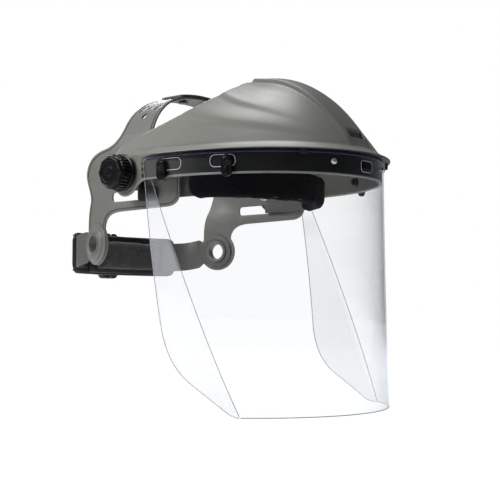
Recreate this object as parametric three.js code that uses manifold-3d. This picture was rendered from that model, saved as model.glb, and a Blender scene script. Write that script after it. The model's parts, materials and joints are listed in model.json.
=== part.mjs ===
// Face shield with a ratchet headgear: a crown with a clear polycarbonate window,
// hinged on a plastic headband. Millimetres, +Z up, -Y forward, +X to the wearer's left.
// The origin is inside the head space, level with the lower edge of the crown's band.
import * as THREE from 'three';
import { mergeVertices } from 'three/addons/utils/BufferGeometryUtils.js';
import Module from 'manifold-3d';

const wasm = await Module();
wasm.setup();

// ---------------------------------------------------------------- driving dimensions
const GAP = 0.3;                    // clearance between pieces that touch

const BAND_A = 102;                 // half-width of the crown's oval band, outside
const BAND_B = 129;                 // depth of that band in front of the head's centre
const BAND_TOP = 20;                // height at which the band turns into the dome
const WALL = 2.2;                   // moulded wall of the crown
const APEX_Y = -40;                 // where the dome is highest
const DOME_RISE = 65.5;             // dome height above the band
const PANEL_RISE = 3.2;             // how far the central panel stands above the dome
const PANEL_HALF = 20;              // half-width of the central panel at its rear end
const PANEL_TAPER = 7;              // how much narrower each half is at the front
const EAR_POWER = 2.3;              // squareness of the band behind the head's centre
const BRIM_REACH = 7;               // how far the brim overhangs the band
const BRIM_Z = 16.6;                // underside of the brim's edge
const BRIM_END_Y = 14;              // the brim and the window stop here on each side

const PIVOT_Y = 37;                 // axis on which the crown lifts
const PIVOT_Z = 6;
const EAR_R = 17.5;                 // round end of the crown at each pivot
const BOSS_FACE_X = 101;            // flat outer face of the pivot boss
const BOSS_BACK_X = 94.5;

const WINDOW_T = 1.2;
const WINDOW_TOP = 15.2;
const WINDOW_BOTTOM = -184;
const STUD_Z = 9;                   // height of the window's studs
const LUG_Z = 7.5;                  // height of the lug in the window's centre slot
const STUD_R = 2;
const TAB_W = 8.4;
const TAB_DROP = 12.8;              // from the stud's axis to the tab's lower end
const TAB_T = 2.8;
const FRONT_STUD_X = 34;
const FRONT_STUD_R = 1.5;
const VENT_HOLE_R = 1.6;             // three small holes behind the brim's end

const PANEL_X = 82;                 // inner face of the headband's side panels
const PANEL_T = 2;
const ARCH_BASE = 22;               // the crown strap starts to curve in here
const ARCH_TOP = 81;                // underside of the crown strap over the head
const STRAP_Y = 53;                 // middle of the crown strap over the head
const STRAP_HALF = 13;              // half-width of the crown strap
const EYELET_Y = 93;
const EYELET_Z = -48;
const EYELET_R = 18;

const BROW_A = 76.5;                // brow band, half-width and reach of its middle line
const BROW_B = 59;
const BROW_Y = -5;
const BROW_T = 1.8;
const BROW_LOW = -14;
const BROW_HIGH = 8;
const BLOCK_Y = 25;                 // slide block and brow band tail in the side slot
const TAIL_Y = 34;

const NAPE_Z = -53;                 // middle height of the nape strap behind the head
const NAPE_H = 27;
const NAPE_T = 1.6;
const NAPE_BACK = 147;              // middle of the nape strap's thickness behind the head
const RATCHET_R = 22;

const GREY = { color: 0x7b7d74, roughness: 0.42, metalness: 0 };
const DARK_GREY = { color: 0x5e605a, roughness: 0.5, metalness: 0 };
const BLACK = { color: 0x17181a, roughness: 0.5, metalness: 0 };
const CLOTH = { color: 0x0e0e14, roughness: 0.95, metalness: 0 };
const STEEL = { color: 0xb8babd, roughness: 0.3, metalness: 1 };
const CLEAR = { color: 0xe8eef4, roughness: 0.08, metalness: 0, transparent: true, opacity: 0.3 };

// ---------------------------------------------------------------- small geometry tools
const V = (x, y, z) => new THREE.Vector3(x, y, z);
const rad = THREE.MathUtils.degToRad;
const clamp01 = (t) => Math.min(1, Math.max(0, t));
const smooth = (t) => clamp01(t) ** 2 * (3 - 2 * clamp01(t));
const range = (n) => Array.from({ length: n }, (_, i) => i);
const steps = (from, to, n) => range(n + 1).map((i) => from + ((to - from) * i) / n);

function fromTriangles(points, triangles) {
  const geometry = new THREE.BufferGeometry();
  const numbers = points.flatMap((p) => p.toArray());
  geometry.setAttribute('position', new THREE.Float32BufferAttribute(numbers, 3));
  geometry.setIndex(triangles.flat());
  return geometry;
}

// Skin over closed convex loops of equal length, with a flat fan on each end.
function loft(loops) {
  const n = loops[0].length;
  const triangles = [];
  for (let i = 0; i + 1 < loops.length; i++) {
    for (let j = 0; j < n; j++) {
      const a = i * n + j;
      const b = i * n + ((j + 1) % n);
      triangles.push([a, b, b + n], [a, b + n, a + n]);
    }
  }
  const last = (loops.length - 1) * n;
  for (let j = 1; j + 1 < n; j++) {
    triangles.push([0, j + 1, j], [last, last + j, last + j + 1]);
  }
  return fromTriangles(loops.flat(), triangles);
}

// Plate between two grids of points; grid[i][j], outer side first.
function plate(outer, inner) {
  const rows = outer.length;
  const cols = outer[0].length;
  const at = (i, j) => i * cols + j;
  const under = (i, j) => rows * cols + at(i, j);
  const triangles = [];
  const quad = (a, b, c, d) => triangles.push([a, b, c], [a, c, d]);
  for (let i = 0; i + 1 < rows; i++) {
    for (let j = 0; j + 1 < cols; j++) {
      quad(at(i, j), at(i + 1, j), at(i + 1, j + 1), at(i, j + 1));
      quad(under(i, j), under(i, j + 1), under(i + 1, j + 1), under(i + 1, j));
    }
    quad(at(i + 1, 0), at(i, 0), under(i, 0), under(i + 1, 0));
    quad(at(i, cols - 1), at(i + 1, cols - 1), under(i + 1, cols - 1), under(i, cols - 1));
  }
  for (let j = 0; j + 1 < cols; j++) {
    quad(at(0, j), at(0, j + 1), under(0, j + 1), under(0, j));
    quad(at(rows - 1, j + 1), at(rows - 1, j), under(rows - 1, j), under(rows - 1, j + 1));
  }
  return fromTriangles([...outer.flat(), ...inner.flat()], triangles);
}

function toManifold(geometry) {
  const bare = geometry.clone();
  bare.deleteAttribute('normal');
  bare.deleteAttribute('uv');
  const merged = mergeVertices(bare, 1e-4);
  return new wasm.Manifold(new wasm.Mesh({
    numProp: 3,
    vertProperties: new Float32Array(merged.attributes.position.array),
    triVerts: new Uint32Array(merged.index.array),
  }));
}

function fromManifold(solid) {
  const mesh = solid.getMesh();
  const geometry = new THREE.BufferGeometry();
  geometry.setAttribute('position', new THREE.BufferAttribute(mesh.vertProperties, 3));
  geometry.setIndex(new THREE.BufferAttribute(mesh.triVerts, 1));
  return geometry;
}

const combine = (how) => (first, ...rest) =>
  fromManifold(rest.reduce((sum, g) => sum[how](toManifold(g)), toManifold(first)));
const cut = combine('subtract');
const join = combine('add');
const common = combine('intersect');

// Shape drawn in a frame's own X and Y, standing `depth` along its Z.
function extrude(shape, depth, curveSegments = 8) {
  return new THREE.ExtrudeGeometry(shape, { depth, bevelEnabled: false, curveSegments });
}

// Shape drawn in (y, z), standing along X from x0 to x1.
function sidePrism(shape, x0, x1, curveSegments = 8) {
  const basis = new THREE.Matrix4().makeBasis(V(0, 1, 0), V(0, 0, 1), V(1, 0, 0));
  return extrude(shape, x1 - x0, curveSegments).applyMatrix4(basis).translate(x0, 0, 0);
}

// Turned piece: profile of (radius, height) pairs, axis along +X from x = 0.
function turnedX(profile, segments) {
  const points = profile.map(([r, h]) => new THREE.Vector2(r, h));
  return new THREE.LatheGeometry(points, segments).rotateZ(-Math.PI / 2);
}

// Turned piece with its axis along a given direction from a given point.
function turnedAlong(profile, segments, start, direction) {
  const turn = new THREE.Quaternion().setFromUnitVectors(V(1, 0, 0), direction);
  return turnedX(profile, segments).applyQuaternion(turn).translate(start.x, start.y, start.z);
}

const rod = (r, length) => [[0, 0], [r, 0], [r, length], [0, length]];

function mirrored(geometry) {
  const copy = geometry.clone().scale(-1, 1, 1);
  if (!copy.index) {
    copy.setIndex(range(copy.attributes.position.count));
  }
  const index = copy.index.array;
  for (let i = 0; i < index.length; i += 3) {
    [index[i], index[i + 1]] = [index[i + 1], index[i]];
  }
  return copy;
}

function capsule(width, above, below) {
  const r = width / 2;
  const shape = new THREE.Shape();
  shape.absarc(0, above - r, r, 0, Math.PI, false);
  shape.absarc(0, -below + r, r, Math.PI, 2 * Math.PI, false);
  return shape;
}

function slotShape(x0, x1, y0, y1, r = (y1 - y0) / 2) {
  const shape = new THREE.Shape();
  shape.absarc(x1 - r, y0 + r, r, -Math.PI / 2, 0, false);
  shape.absarc(x1 - r, y1 - r, r, 0, Math.PI / 2, false);
  shape.absarc(x0 + r, y1 - r, r, Math.PI / 2, Math.PI, false);
  shape.absarc(x0 + r, y0 + r, r, Math.PI, 1.5 * Math.PI, false);
  return shape;
}

// ---------------------------------------------------------------- the crown's oval band
// phi is measured from straight ahead towards +X.
// Behind the head's centre the oval is squarer, so that the ears stay wide.
function bandPoint(phi, offset, z) {
  const back = Math.max(0, -Math.cos(phi));
  const wide = (1 - back ** EAR_POWER) ** (1 / EAR_POWER);
  const x = back > 0 ? Math.sign(phi) * wide : Math.sin(phi);
  return V((BAND_A + offset) * x, -(BAND_B + offset) * Math.cos(phi), z);
}

function bandNormal(phi) {
  return V(Math.sin(phi) / BAND_A, -Math.cos(phi) / BAND_B, 0).normalize();
}

// Frame on the band's outside: X along the band, Y up, Z outwards.
function bandFrame(phi, offset, z) {
  const normal = bandNormal(phi);
  const up = V(0, 0, 1);
  const along = new THREE.Vector3().crossVectors(up, normal);
  const start = bandPoint(phi, 0, z).addScaledVector(normal, offset);
  return new THREE.Matrix4().makeBasis(along, up, normal).setPosition(start);
}

const phiAtY = (y) => Math.acos(-y / BAND_B);

// ---------------------------------------------------------------- crown
const DOME_SEGMENTS = 48;

// Height of the dome over a share k of the way from its apex to the band.
function domePoint(phi, k, inset) {
  const edge = bandPoint(phi, -inset, 0);
  const x = edge.x * k;
  const y = APEX_Y + (edge.y - APEX_Y) * k;
  const power = 2 + smooth((Math.abs(phi) - rad(60)) / rad(60));
  const rise = (DOME_RISE - inset) * (1 - k ** power);
  const half = PANEL_HALF - PANEL_TAPER * clamp01((APEX_Y - y) / (BAND_B + APEX_Y));
  const panel = PANEL_RISE * smooth((half + 3 - Math.abs(x)) / 3) * smooth((1 - k) / 0.12);
  return V(x, y, BAND_TOP + rise + panel);
}

function domeBody(inset, low) {
  const phis = range(DOME_SEGMENTS).map((i) => (2 * Math.PI * i) / DOME_SEGMENTS - Math.PI);
  const loops = [phis.map((phi) => bandPoint(phi, -inset, low))];
  for (const k of [1, 0.92, 0.8, 0.66, 0.5, 0.32, 0.14]) {
    loops.push(phis.map((phi) => domePoint(phi, k, inset)));
  }
  return loft(loops);
}

// Side view of the crown: level band, round ears at the pivots, hollowed rear rim.
function crownOutline() {
  const shape = new THREE.Shape();
  shape.moveTo(-160, 0);
  shape.lineTo(PIVOT_Y - 24, 0);
  shape.quadraticCurveTo(PIVOT_Y - 16, -1, PIVOT_Y - 10, PIVOT_Z - EAR_R + 3);
  shape.absarc(PIVOT_Y, PIVOT_Z, EAR_R, rad(235), rad(375), false);
  shape.lineTo(PIVOT_Y + 22, BAND_TOP + 9);
  shape.quadraticCurveTo(-8, 44, -30, 72);
  shape.lineTo(-38, 110);
  shape.lineTo(-160, 110);
  return shape;
}

function brim() {
  const end = phiAtY(BRIM_END_Y);
  const section = [
    [-1.5, BAND_TOP + 3.5], [BRIM_REACH - 2, BRIM_Z + 2.6], [BRIM_REACH, BRIM_Z + 1.4],
    [BRIM_REACH, BRIM_Z], [BRIM_REACH - 2, BRIM_Z], [-1.5, BRIM_Z + 1.6],
  ];
  return loft(steps(-end, end, 32).map((phi) => {
    const taper = smooth((end - Math.abs(phi)) / rad(9));
    return section.map(([d, z]) => {
      const reach = d > 0 ? d * taper : d;
      return bandPoint(phi, 0, z).addScaledVector(bandNormal(phi), reach);
    });
  }));
}

// Round hole straight through the band wall.
function bandHole(phi, z, r) {
  const start = bandPoint(phi, 0, z).addScaledVector(bandNormal(phi), -8);
  return turnedAlong(rod(r, 16), 8, start, bandNormal(phi));
}

function frontStudHoles() {
  const phi = Math.asin(FRONT_STUD_X / BAND_A);
  return [phi, -phi].map((turn) => bandHole(turn, STUD_Z, FRONT_STUD_R + GAP));
}

function crown() {
  const shell = cut(domeBody(0, -30), domeBody(WALL, -40));
  const bosses = [1, -1].map((side) => {
    const start = V(side * (BOSS_BACK_X - 0.5), PIVOT_Y, PIVOT_Z);
    return turnedAlong(rod(15, BOSS_FACE_X - BOSS_BACK_X + 0.5), 28, start, V(side, 0, 0));
  });
  const outline = sidePrism(crownOutline(), -140, 140, 6);
  const lug = extrude(slotShape(-5.6, 5.6, -3, 3, 1.6), 3.5, 2).applyMatrix4(bandFrame(0, -1, LUG_Z));
  const hooks = [rad(33), rad(-33)].map((phi) =>
    extrude(slotShape(-3, 3, 0, 5, 1), 1.8, 2).applyMatrix4(bandFrame(phi, 3.6, BRIM_Z - 4)));
  const body = join(common(shell, outline), brim(), ...bosses, lug, ...hooks);
  const bore = [[0, 0], [12, 0], [12, 8], [4.4, 8], [4.4, 20], [0, 20]];
  const bores = [1, -1].map((side) =>
    turnedAlong(bore, 20, V(side * (BOSS_BACK_X - 8), PIVOT_Y, PIVOT_Z), V(side, 0, 0)));
  const studHoles = TABS.map(({ phi }) => bandHole(phi, STUD_Z, STUD_R + GAP));
  const ventHoles = [1, -1].flatMap((side) =>
    [2.4, 7.2, 12].map((z) => bandHole(side * phiAtY(BRIM_END_Y + 0.5), z, VENT_HOLE_R)));
  return cut(body, ...bores, ...studHoles, ...frontStudHoles(), ...ventHoles, ventSlot());
}

// Recess across the foot of the central panel.
function ventSlot() {
  const foot = domePoint(0, 0.905, 0);
  const box = new THREE.BoxGeometry(20, 9, 3.2);
  return box.rotateX(rad(-50)).translate(0, foot.y - 4.5, foot.z + 1);
}

// ---------------------------------------------------------------- window
// The sheet follows the band at its top and widens downwards; a moulded crease on each
// side turns it into a flat wing that runs back to the side edge.
const windowDrop = (z) => clamp01(z / WINDOW_BOTTOM);

function windowHalfWidth(z) {
  const t = windowDrop(z);
  return BAND_A + GAP + 4 * t + 9 * t * t;
}

const creaseY = (z) => 4 - 83 * windowDrop(z);

function windowPoint(s, z, offset) {
  const a = windowHalfWidth(z) + offset;
  const b = BAND_B + GAP + offset;
  const side = Math.sign(s) || 1;
  const creasePhi = Math.acos(-creaseY(z) / b);
  if (Math.abs(s) <= 1) {
    return V(a * Math.sin(s * creasePhi), -b * Math.cos(s * creasePhi), z);
  }
  const creaseX = a * Math.sin(creasePhi);
  const back = (Math.abs(s) - 1) * (30 - creaseY(z));
  return V(side * (creaseX - 0.02 * back), creaseY(z) + back, z);
}

function windowOutline() {
  const shape = new THREE.Shape();
  shape.moveTo(-160, WINDOW_BOTTOM - 5);
  shape.lineTo(-160, WINDOW_TOP + 5);
  shape.lineTo(BRIM_END_Y - 4, WINDOW_TOP + 5);
  shape.lineTo(BRIM_END_Y - 4, WINDOW_TOP);
  shape.quadraticCurveTo(BRIM_END_Y - 1, WINDOW_TOP, BRIM_END_Y - 1, WINDOW_TOP - 4);
  shape.lineTo(-5, -118);
  shape.quadraticCurveTo(-10, -150, -36, -163);
  shape.lineTo(-68, -182);
  shape.quadraticCurveTo(-73, -184, -79, WINDOW_BOTTOM);
  shape.lineTo(-79, WINDOW_BOTTOM - 5);
  return shape;
}

function windowSheet() {
  const columns = [-1.6, ...steps(-1, 1, 24), 1.6];
  const levels = [WINDOW_BOTTOM, -150, -105, -55, 0, WINDOW_TOP];
  const grid = (offset) => columns.map((s) => levels.map((z) => windowPoint(s, z, offset)));
  const sheet = plate(grid(WINDOW_T), grid(0));
  const through = (shape, phi, z, curveSegments) =>
    extrude(shape, 10, curveSegments).applyMatrix4(bandFrame(phi, -4, z));
  const slots = TABS.map(({ phi, slot: [x0, x1] }) =>
    through(slotShape(x0, x1, -4.6, 4.6), phi, STUD_Z - 0.2, 3));
  const centre = through(slotShape(-7.4, 7.4, -4.4, 4.4, 2.6), 0, LUG_Z, 2);
  const blank = common(sheet, sidePrism(windowOutline(), -140, 140, 5));
  return cut(blank, ...slots, centre, ...frontStudHoles());
}

// ---------------------------------------------------------------- window fasteners
// Four tabs hang from their studs over slots in the window; turned level, each passes
// through its slot. `slot` runs along the band from the stud, `turn` is the way it lifts.
const TABS = [
  { name: 'right_rear', phi: -phiAtY(-9), slot: [-5.5, 17.5] },
  { name: 'right_front', phi: rad(-60.5), slot: [-14, 6] },
  { name: 'left_front', phi: rad(60.5), slot: [-6, 14] },
  { name: 'left_rear', phi: phiAtY(-9), slot: [-17.5, 5.5] },
];

const TAB_BACK = GAP + WINDOW_T + GAP;

function windowTab({ phi }) {
  const body = extrude(capsule(TAB_W, TAB_W / 2, TAB_DROP), TAB_T, 5);
  const ridge = extrude(capsule(2.4, -5, TAB_DROP - 2), TAB_T + 0.8, 2);
  const bore = turnedAlong(rod(STUD_R + GAP, 12), 10, V(0, 0, -4), V(0, 0, 1));
  const seat = turnedAlong(rod(3.2 + GAP, 4), 12, V(0, 0, TAB_T - 1), V(0, 0, 1));
  return cut(join(body, ridge), bore, seat).applyMatrix4(bandFrame(phi, TAB_BACK, STUD_Z));
}

function tabStud({ phi }) {
  const length = TAB_BACK + TAB_T - 1 + GAP + 6.5;
  const profile = [[0, 0], [STUD_R, 0], [STUD_R, length], [3.2, length], [3.2, length + 0.9],
    [2.2, length + 1.5], [0, length + 1.6]];
  return turnedAlong(profile, 10, V(0, 0, -6.5), V(0, 0, 1)).applyMatrix4(bandFrame(phi, 0, STUD_Z));
}

function tabNut({ phi }) {
  const height = 3;
  const start = V(0, 0, -WALL - GAP - height);
  const ring = turnedAlong(tube(STUD_R + GAP, 3.4, height), 8, start, V(0, 0, 1));
  return ring.applyMatrix4(bandFrame(phi, 0, STUD_Z));
}

function frontStud(side) {
  const phi = side * Math.asin(FRONT_STUD_X / BAND_A);
  const head = GAP + WINDOW_T + GAP;
  const tip = -WALL - 1.5;
  const profile = [[0, tip], [FRONT_STUD_R, tip], [FRONT_STUD_R, head], [2.7, head],
    [2.5, head + 1], [1.5, head + 1.6], [0, head + 1.7]];
  return turnedAlong(profile, 10, V(0, 0, 0), V(0, 0, 1)).applyMatrix4(bandFrame(phi, 0, STUD_Z));
}

// ---------------------------------------------------------------- pivots and side knobs
// All of these are drawn on the +X side and mirrored.
const at = (x) => V(x, PIVOT_Y, PIVOT_Z);
const HUB_X = PANEL_X + PANEL_T + GAP;
const WASHER_X = BOSS_FACE_X + GAP;
const WASHER_T = 1;
const KNOB_X = WASHER_X + WASHER_T + GAP;
const KNOB_H = 15;

function tube(inner, outer, length) {
  return [[inner, 0], [outer, 0], [outer, length], [inner, length], [inner, 0]];
}

function pivotHub() {
  return turnedAlong(tube(4 + GAP, 11, BOSS_BACK_X - GAP - HUB_X), 24, at(HUB_X), V(1, 0, 0));
}

function frictionWasher() {
  return turnedAlong(tube(4 + GAP, 13.5, WASHER_T), 28, at(WASHER_X), V(1, 0, 0));
}

function pivotBolt() {
  const headX = PANEL_X - GAP - 2.4;
  const headR = 8;
  const end = KNOB_X + 9 - headX;
  const profile = [[0, 0], [headR - 1, 0], [headR, 1], [headR, 2.4], [4, 2.4], [4, end], [0, end]];
  return turnedAlong(profile, 20, at(headX), V(1, 0, 0));
}

// Flange, fluted waist and eight-sided cap.
function sideKnob() {
  const flange = turnedX([[0, 0], [15.2, 0], [15.4, 0.8], [15.4, 2.6], [14.4, 3.4], [0, 3.4]], 24);
  const waist = new THREE.Shape();
  const ribs = 16;
  for (const i of range(ribs)) {
    for (const [part, r] of [[0, 14], [0.5, 14], [0.56, 12.7], [0.94, 12.7]]) {
      const angle = (2 * Math.PI * (i + part)) / ribs;
      const go = i + part === 0 ? 'moveTo' : 'lineTo';
      waist[go](r * Math.cos(angle), r * Math.sin(angle));
    }
  }
  const body = extrude(waist, KNOB_H - 4.4).rotateY(Math.PI / 2).translate(2.4, 0, 0);
  const cap = turnedX([[0, 0], [13, 0], [13.2, 1.6], [11.8, 3], [0, 3]], 8);
  const solid = join(flange, body, cap.rotateX(rad(22.5)).translate(KNOB_H - 3, 0, 0));
  const bore = turnedX(rod(6.6, 10 + GAP), 6).translate(-GAP, 0, 0);
  return cut(solid, bore).translate(KNOB_X, PIVOT_Y, PIVOT_Z);
}

function knobInsert() {
  const hex = turnedX(rod(6.2, 9), 6);
  const hole = turnedX(rod(4 + GAP, 12), 16).translate(-1, 0, 0);
  return cut(hex, hole).translate(KNOB_X + 0.4, PIVOT_Y, PIVOT_Z);
}

// ---------------------------------------------------------------- headband side halves
// Each half is one moulding: side panel, leg to the eyelet and half of the crown strap.
function archPoint(t, offset) {
  const a = PANEL_X + offset;
  const b = ARCH_TOP - ARCH_BASE + offset;
  const power = 2 / 2.2;
  return [a * Math.cos(t) ** power, ARCH_BASE + b * Math.sin(t) ** power];
}

// Section of the bent plate in (x, z), over the head to `past` beyond the middle.
// Over the head it stands `lap` higher, to pass over the other half.
function archSection(past, lap) {
  const ts = steps(0, Math.PI / 2, 10);
  const point = (t, offset) => archPoint(t, offset + lap * smooth((t - rad(50)) / rad(25)));
  const side = (offset) => {
    const curve = ts.map((t) => point(t, offset));
    const over = curve.slice(-5, -1).reverse().map(([x, z]) => [-x, z]);
    return [[PANEL_X + offset, -75], ...curve, ...over.filter(([x]) => x > -past)];
  };
  return [side(PANEL_T), side(0)];
}

function bentPlate(past, lap) {
  const [outer, inner] = archSection(past, lap);
  const rows = (line) => line.map(([x, z]) => [130, -20].map((y) => V(x, y, z)));
  return plate(rows(outer), rows(inner));
}

// Side view of a half: panel with its front tongue, leg to the eyelet, crown strap.
function sideOutline() {
  const rear = STRAP_Y + STRAP_HALF;
  const front = STRAP_Y - STRAP_HALF;
  const shape = new THREE.Shape();
  shape.moveTo(5, -21.4);
  shape.lineTo(60, -22.4);
  shape.bezierCurveTo(73, -22.8, 79, -27, 79.6, -36);
  shape.absarc(EYELET_Y, EYELET_Z, EYELET_R, rad(138), rad(400), false);
  shape.bezierCurveTo(107.5, -24, 106, -17, 102.6, -10);
  shape.quadraticCurveTo(101, -6, 101.2, 2);
  shape.lineTo(101.2, 10);
  shape.bezierCurveTo(101, 22, 93, 29, 80, 31.4);
  shape.bezierCurveTo(70, 33, 62.5, 38, 61.5, 48);
  shape.quadraticCurveTo(62, 62, rear - 1, 72);
  shape.lineTo(rear, ARCH_TOP);
  shape.lineTo(rear, 110);
  shape.lineTo(front, 110);
  shape.lineTo(front, ARCH_TOP);
  shape.quadraticCurveTo(28, 66, 26, 42);
  shape.quadraticCurveTo(20, 22, 4, 10);
  shape.lineTo(-4, 7);
  shape.quadraticCurveTo(-8, 6, -8, 2);
  shape.lineTo(-8, -10);
  shape.quadraticCurveTo(-8, -20.5, 5, -21.4);
  return shape;
}

// Hole through the +X side, seen from the side.
function sideHole(y, z, r, curveSegments = 8) {
  const circle = new THREE.Shape().absarc(y, z, r, 0, 2 * Math.PI, false);
  return sidePrism(circle, 30, 120, curveSegments);
}

const STRAP_HOLES = [[56, 64, 1.7], [47, 65, 1.7], [38, 64.5, 1.7], [45, 57, 2.6]];
const PEG_X = [-14, 14];
const PEG_R = 2;
const EYELET_BORE_R = 8.6;

function headbandHalf(past, lap, pegHoleR) {
  const blank = common(bentPlate(past, lap), sidePrism(sideOutline(), -60, 100, 5));
  const dome = [[EYELET_BORE_R, 0], [EYELET_R, 0], [EYELET_R, 1.2], [14.5, 2.2], [13.8, 3.2],
    [11.4, 4], [EYELET_BORE_R, 4], [EYELET_BORE_R, 0]];
  const boss = turnedAlong(dome, 24, V(PANEL_X + 0.5, EYELET_Y, EYELET_Z), V(1, 0, 0));
  const slot = sidePrism(slotShape(15, 69, -14, -6, 3), 60, 100, 3);
  const sizes = STRAP_HOLES.map(([y, z, r]) => sideHole(y, z, r));
  const pegs = PEG_X.map((x) =>
    turnedAlong(rod(pegHoleR, 14), 10, V(x, STRAP_Y, ARCH_TOP - 5), V(0, 0, 1)));
  const ring = sideHole(EYELET_Y, EYELET_Z, EYELET_BORE_R + GAP, 18);
  const pivot = sideHole(PIVOT_Y, PIVOT_Z, 4 + GAP);
  return cut(join(blank, boss), slot, ring, pivot, ...sizes, ...pegs);
}

// Snap peg through both strap halves, its head sunk in the upper one's hole.
function strapPeg(x) {
  const profile = [[0, 0], [4.5, 0], [4.5, 1.4], [PEG_R, 1.4], [PEG_R, 5], [2.8, 5.2],
    [2.6, 6.6], [0, 6.9]];
  return turnedAlong(profile, 10, V(x, STRAP_Y, ARCH_TOP - 3), V(0, 0, 1));
}

// ---------------------------------------------------------------- brow band and pad
// Level line round the brow, from the right tail's end to the left one's.
function browLine() {
  const arc = steps(-Math.PI / 2, Math.PI / 2, 26).map((a) =>
    V(BROW_A * Math.sin(a), BROW_Y - BROW_B * Math.cos(a), 0));
  return [V(-BROW_A - 2.4, TAIL_Y, 0), V(-BROW_A - 2, 16, 0), ...arc, V(BROW_A + 2, 16, 0),
    V(BROW_A + 2.4, TAIL_Y, 0)];
}

function pathNormals(line) {
  return line.map((p, i) => {
    const before = line[Math.max(0, i - 1)];
    const after = line[Math.min(line.length - 1, i + 1)];
    const t = after.clone().sub(before).normalize();
    return V(t.y, -t.x, 0);
  });
}

// Sweep of a convex (offset, z) section, drawn counter-clockwise, along a level line.
function sweepLevel(line, sectionAt) {
  const normals = pathNormals(line);
  return loft(line.map((p, i) => sectionAt(i, line.length).reverse().map(([d, z]) =>
    p.clone().addScaledVector(normals[i], d).setZ(z))));
}

function browBand() {
  const half = BROW_T / 2;
  const line = browLine();
  return sweepLevel(line, (i, n) => {
    const tail = Math.min(i, n - 1 - i) < 2;
    const top = tail ? -5 : BROW_HIGH;
    return [[-half, BROW_LOW], [half, BROW_LOW], [half, top], [-half, top]];
  });
}

function padSection(out, into, low, high) {
  const r = Math.min(4, (out + into) / 2 - 0.7);
  return [[out, low + r], [out, high - r], [out - r, high], [-into + r, high], [-into, high - r],
    [-into, low + r], [-into + r, low], [out - r, low]];
}

function browPad() {
  const line = browLine().slice(3, -3);
  const sleeve = sweepLevel(line, () => padSection(4.2, 9, -17.5, 11.5));
  const inner = browLine();
  const room = BROW_T / 2 + GAP;
  const hollow = sweepLevel(inner, () => [[-room, BROW_LOW - GAP], [room, BROW_LOW - GAP],
    [room, BROW_HIGH + GAP], [-room, BROW_HIGH + GAP]]);
  return cut(sleeve, hollow);
}

// Button that slides in the side panel's slot and carries the brow band's tail.
function slideBlock() {
  const plug = extrude(slotShape(-8.5, 8.5, -3.6, 3.6, 2), PANEL_T + 3, 2);
  const cap = extrude(slotShape(-10.5, 10.5, -5.6, 5.6, 3), 2.4, 3).translate(0, 0, PANEL_T + 2 * GAP);
  const basis = new THREE.Matrix4().makeBasis(V(0, 1, 0), V(0, 0, 1), V(1, 0, 0));
  return join(plug, cap).applyMatrix4(basis).translate(PANEL_X - GAP / 2, BLOCK_Y, -10);
}

// ---------------------------------------------------------------- nape strap and ratchet
const STRAP_X = PANEL_X - GAP - NAPE_T / 2;

// Runs back from the eyelet, rounds the head behind the ear and crosses the nape.
function napeLine(shift) {
  const back = NAPE_BACK + shift;
  const start = EYELET_Y + 10;
  const corner = steps(0, Math.PI / 2, 10).map((a) => {
    const x = STRAP_X * Math.cos(a) + shift * Math.sin(a) * Math.cos(a);
    return V(x, start + (back - start) * Math.sin(a) ** 0.8, 0);
  });
  return [V(STRAP_X, EYELET_Y + 4, 0), ...corner];
}

// The same line run on from the middle of the nape to the -X side.
const otherSide = (line) => line.slice(0, -1).reverse().map((p) => V(-p.x, p.y, 0));

const napeDrop = (y) => EYELET_Z + (NAPE_Z - EYELET_Z) * smooth((y - EYELET_Y) / 45);

function napeStrap(shift, tail) {
  const line = napeLine(shift);
  const past = otherSide(line).filter((p) => p.x > -tail);
  const band = sweepLevel([...line, ...past], (i) => {
    const half = i < 2 ? 9 : NAPE_H / 2;
    const y = line[Math.min(i, line.length - 1)].y;
    const z = napeDrop(y);
    const t = NAPE_T / 2;
    return [[-t, z - half], [t, z - half], [t, z + half], [-t, z + half]];
  });
  const ringStart = V(PANEL_X - GAP - NAPE_T, EYELET_Y, EYELET_Z);
  const ring = turnedAlong(rod(15, NAPE_T), 24, ringStart, V(1, 0, 0));
  const hole = sideHole(EYELET_Y, EYELET_Z, EYELET_BORE_R + GAP, 18);
  const rack = extrude(slotShape(-24, 24, -7, 7, 3), 60).rotateX(Math.PI / 2);
  return cut(join(band, ring), hole, rack.translate(0, 190, NAPE_Z));
}

// Hollow rivet that holds a nape strap to its side panel.
function napeRivet() {
  const headT = 1.2;
  const start = V(PANEL_X - 2 * GAP - NAPE_T - headT, EYELET_Y, EYELET_Z);
  const length = headT + NAPE_T + 2 * GAP + 5.1;
  const [inner, outer] = [7.3, EYELET_BORE_R];
  const profile = [[inner, 0], [10, 0], [10, headT], [outer, headT], [outer, length],
    [inner, length], [inner, 0]];
  return turnedAlong(profile, 20, start, V(1, 0, 0));
}

// Part of the nape's line within halfX of the middle.
function arcBehind(halfX, shift, n) {
  const line = napeLine(shift).slice(1);
  const curve = new THREE.CatmullRomCurve3([...line, ...otherSide(line)]);
  return curve.getSpacedPoints(n).filter((p) => Math.abs(p.x) <= halfX);
}

const BARREL_Y = NAPE_BACK + 4.6;
const BARREL_H = 7;

const slab = (t, low, high) => () => [[-t / 2, low], [t / 2, low], [t / 2, high], [-t / 2, high]];

function ratchetGuide() {
  return sweepLevel(arcBehind(48, -2.6, 40), slab(1.6, NAPE_Z - 17, NAPE_Z + 17));
}

function ratchetHousing() {
  const shell = sweepLevel(arcBehind(65, 6.4, 40), slab(3, NAPE_Z - 18.5, NAPE_Z + 18.5));
  const barrel = turnedAlong(rod(17, BARREL_H), 28, V(0, BARREL_Y, NAPE_Z), V(0, 1, 0));
  const hole = turnedAlong(rod(6, 30), 16, V(0, BARREL_Y - 12, NAPE_Z), V(0, 1, 0));
  return cut(join(shell, barrel), hole);
}

function napePad() {
  const section = () => padSection(3.2, 3.2, NAPE_Z - 15, NAPE_Z + 15);
  return sweepLevel(arcBehind(41, -7.2, 40), section);
}

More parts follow.
